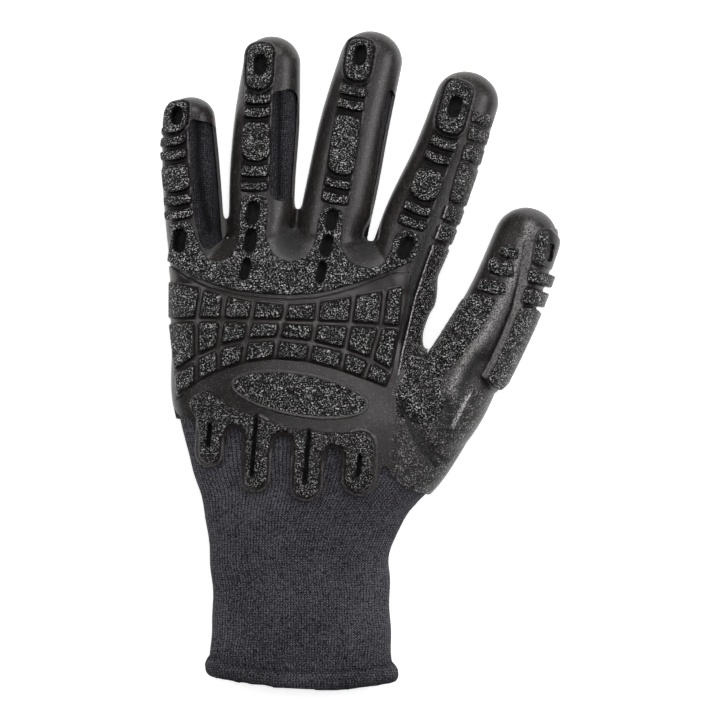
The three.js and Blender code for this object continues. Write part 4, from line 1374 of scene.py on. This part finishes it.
def rubber(name, specular):
    """Black rubber: satin where it is smooth, with glints painted into its colour where it is
    pebbled, highlights painted on some crests and shade painted into hollows.
    """
    material, shader = new_material(name, Specular_IOR_Level=specular)
    tree = Tree(material)
    pebbled = tree.attribute("pebbled", "Fac")
    hollow = tree.attribute("hollow", "Fac")
    mottle = tree.noise(MOTTLE_SCALE, 3)
    specks = tree.noise(SPECK_SCALE, 2, 0.6)
    fine = tree.noise(FINE_GRAIN_SCALE, 2)
    coarse = tree.math("MAXIMUM", pebbled, hollow)
    grain_height = tree.times(tree.times(specks, coarse), SPECK_DEPTH)
    height = tree.add(grain_height, tree.times(fine, FINE_GRAIN_DEPTH))
    tree.join(tree.bump(height, 1.0, 1.0), shader.inputs["Normal"])

    satin = tree.blend(tree.ramp(mottle, *MOTTLE_RANGE), SATIN_DARK, SATIN_LIGHT)
    patch = tree.ramp(tree.noise(PATCH_SCALE, 2), *PATCH_RANGE)
    bright = tree.times(tree.ramp(specks, *PAINTED_GLINT_RANGE), patch)
    rough = tree.blend(bright, PIT_BLACK_AND_SHADE, PAINTED_GLINT_COLOUR)
    painted_highlight = tree.times(tree.attribute("painted_highlight", "Fac"), tree.ramp(specks, *PAINTED_HIGHLIGHT_RANGE))
    surface = tree.blend(painted_highlight, tree.blend(pebbled, satin, rough), PAINTED_HIGHLIGHT_COLOUR)
    tree.join(tree.blend(hollow, surface, PAINTED_SHADE_COLOUR), shader.inputs["Base Color"])

    smooth = tree.ramp(mottle, *MOTTLE_RANGE, *SATIN_ROUGHNESS)
    gloss = tree.mix(pebbled, smooth, PEBBLED_ROUGHNESS)
    tree.join(tree.mix(hollow, gloss, PAINTED_SHADE_ROUGHNESS), shader.inputs["Roughness"])
    return material


# The knit: a stitch in millimetres, its colours, and what its shades are spread from and over.
STITCH_WIDTH = 1.14
STITCH_HEIGHT = 0.9
STITCH_SLANT = 0.8
KNIT_DEPTH = 0.0003
KNIT_BUMP = 0.9
KNIT_DARK = (0.003, 0.003, 0.004)
KNIT_LIGHT = (0.198, 0.193, 0.226)
VALLEY_RANGE = (0.5, 0.9, 1.0, 0.2)
MIDDLE_RANGE = (0.0, 0.2, 0.6, 1.0)
LEG_RANGE = (0.1, 0.9, 0.08, 1.0)
UNEVEN_RANGE = (0.0, 1.0, 0.7, 1.25)
FUZZ_SCALE = 1900
FUZZ_HEIGHT = 0.4
FIBRE_RANGE = (0.38, 0.64, 0.08, 2)
CLOUD_SCALE = 34
CLOUD_RANGE = (0.35, 0.65, 0.68, 1.2)


def knit():
    """Charcoal nylon knit: upright columns of slanting stitches."""
    material, shader = new_material("knit", Roughness=0.9, Specular_IOR_Level=0.2)
    tree = Tree(material)
    parts = tree.node("ShaderNodeSeparateXYZ", {0: tree.attribute("stitch", "Vector")}).outputs
    across = tree.math("DIVIDE", parts[0], STITCH_WIDTH)
    middle = tree.math("ABSOLUTE", tree.math("SUBTRACT", tree.math("FRACT", across), 0.5))
    side = tree.times(middle, 2.0)
    row = tree.math("DIVIDE", parts[1], STITCH_HEIGHT)
    slanted = tree.add(row, tree.times(side, STITCH_SLANT))
    leg = tree.math("ABSOLUTE", tree.math("SINE", tree.times(slanted, math.pi)))
    column = tree.times(tree.ramp(side, *VALLEY_RANGE), tree.ramp(side, *MIDDLE_RANGE))
    yarn = tree.times(column, tree.ramp(leg, *LEG_RANGE))
    cell = tree.node("ShaderNodeCombineXYZ", {
        0: tree.math("FLOOR", across), 1: tree.math("FLOOR", slanted),
    }).outputs[0]
    uneven = tree.node("ShaderNodeTexWhiteNoise", {"Vector": cell}).outputs["Value"]
    fuzz = tree.noise(FUZZ_SCALE, 3, 0.6)
    height = tree.add(yarn, tree.times(fuzz, FUZZ_HEIGHT))
    tree.join(tree.bump(height, KNIT_BUMP, KNIT_DEPTH), shader.inputs["Normal"])

    fibre = tree.times(yarn, tree.ramp(fuzz, *FIBRE_RANGE))
    lit = tree.times(fibre, tree.ramp(uneven, *UNEVEN_RANGE))
    cloudy = tree.times(lit, tree.ramp(tree.noise(CLOUD_SCALE, 4, 0.65), *CLOUD_RANGE))
    # The stitch table's shade is painted shade: it darkens the yarn on the fingers, in the furrows
    # and along the hem.
    share = tree.times(cloudy, tree.math("SUBTRACT", 1.0, parts[2]))
    tree.join(tree.blend(share, KNIT_DARK, KNIT_LIGHT), shader.inputs["Base Color"])
    return material


# Each piece: its finish, how it is made, and the nodes that it stands for.
FINGERS = ["little", "ring", "middle", "index", "thumb"]
LINER_NODES = ["knit_hand", "knit_cuff"] + ["knit_" + finger for finger in FINGERS]
COATING_NODES = ["palm_coating"] + [finger + "_coating" for finger in FINGERS]
PIECES = [
    ("knit", knit_liner, LINER_NODES),
    ("knit", cuff_hem, ["cuff_hem"]),
    ("smooth_rubber", palm_coating, COATING_NODES),
    ("smooth_rubber", back_skin, ["back_skin"]),
]
# Each of these makes the node of its own name.
GUARDS = [
    knuckle_guard, tile_panel, oval_plate, cuff_fringe, index_side_guard, thumb_guard, thumb_field,
]
PIECES += [("pebbled_rubber", make, [make.__name__]) for make in GUARDS]
materials = {
    "knit": knit(),
    "smooth_rubber": rubber("smooth_rubber", SMOOTH_SPECULAR),
    "pebbled_rubber": rubber("pebbled_rubber", PEBBLED_SPECULAR),
}
# A face with less grain and shade than this is smooth.
SMOOTH_BELOW = 0.3


def smooth_faces(piece):
    """Gives the smooth faces of a pebbled piece the smooth rubber."""
    mesh = piece.data
    mesh.materials.append(materials["smooth_rubber"])
    rough = values_of(mesh.attributes["pebbled"].data, "value")
    dark = values_of(mesh.attributes["hollow"].data, "value")
    first_corners = values_of(mesh.polygons, "loop_start", kind=int)
    corner_points = values_of(mesh.loops, "vertex_index", kind=int)
    smooth = (rough + dark)[corner_points[first_corners]] < SMOOTH_BELOW
    mesh.polygons.foreach_set("material_index", smooth.astype(int))


def finished(piece, slot_name, nodes):
    piece.data.materials.clear()
    piece.data.materials.append(materials[slot_name])
    if slot_name == "pebbled_rubber":
        smooth_faces(piece)
    piece.data.shade_smooth()
    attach(piece, "root")
    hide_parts(*nodes)
    return piece


made = {}
for slot_name, make, nodes in PIECES:
    made[nodes[0]] = finished(make(), slot_name, nodes)
for name, guard in FINGER_GUARDS.items():
    made[name] = finished(finger_guard(name, guard), "pebbled_rubber", [name])

SKIN_EDGE_ANGLE = math.radians(45)
for name in ("palm_coating", "back_skin", "knit_hand"):
    made[name].data.set_sharp_from_angle(angle=SKIN_EDGE_ANGLE)
for name in ("knit_hand", "cuff_hem"):
    wrinkle_knit(made[name])
    store(made[name], "stitch", "FLOAT_VECTOR", "vector", stitch_places(mesh_points(made[name])))
for form in forms.values():
    remove(form)


# A pale floor and soft studio light
FLOOR_REACH = 3000
FLOOR_COLOUR = (0.9, 0.9, 0.9, 1)
FLOOR_GLOW = 0.75
WHITE = (1, 1, 1, 1)


def add_floor():
    sides = ((-1, -1), (1, -1), (1, 1), (-1, 1))
    corners = [(x * FLOOR_REACH, y * FLOOR_REACH, 0) for x, y in sides]
    floor = mesh_object("floor", corners, [(0, 1, 2, 3)])
    material, _ = new_material(
        "floor", Roughness=0.9, Base_Color=FLOOR_COLOUR,
        Emission_Color=WHITE, Emission_Strength=FLOOR_GLOW,
    )
    floor.data.materials.append(material)


Light = namedtuple("Light", "name place size power")
LIGHTS = [
    Light("left", (-0.95, 0.3, 0.85), 0.55, 3.5),
    Light("right", (0.95, 0.3, 0.85), 0.55, 5),
    Light("back", (0.1, 1.1, 0.9), 0.6, 6),
    Light("top", (0.12, 0.12, 1.7), 0.4, 5),
]
WORLD_STRENGTH = 0.07


def add_lights():
    for light in LIGHTS:
        data = bpy.data.lights.new(light.name, "AREA")
        data.size = light.size
        data.energy = light.power
        lamp = bpy.data.objects.new(light.name, data)
        lamp.location = light.place
        heading = -lamp.location
        lamp.rotation_euler = heading.to_track_quat("-Z", "Y").to_euler()
        scene.collection.objects.link(lamp)
    world = bpy.data.worlds.new("studio")
    world.use_nodes = True
    background = world.node_tree.nodes["Background"]
    background.inputs["Color"].default_value = WHITE
    background.inputs["Strength"].default_value = WORLD_STRENGTH
    scene.world = world


add_floor()
add_lights()
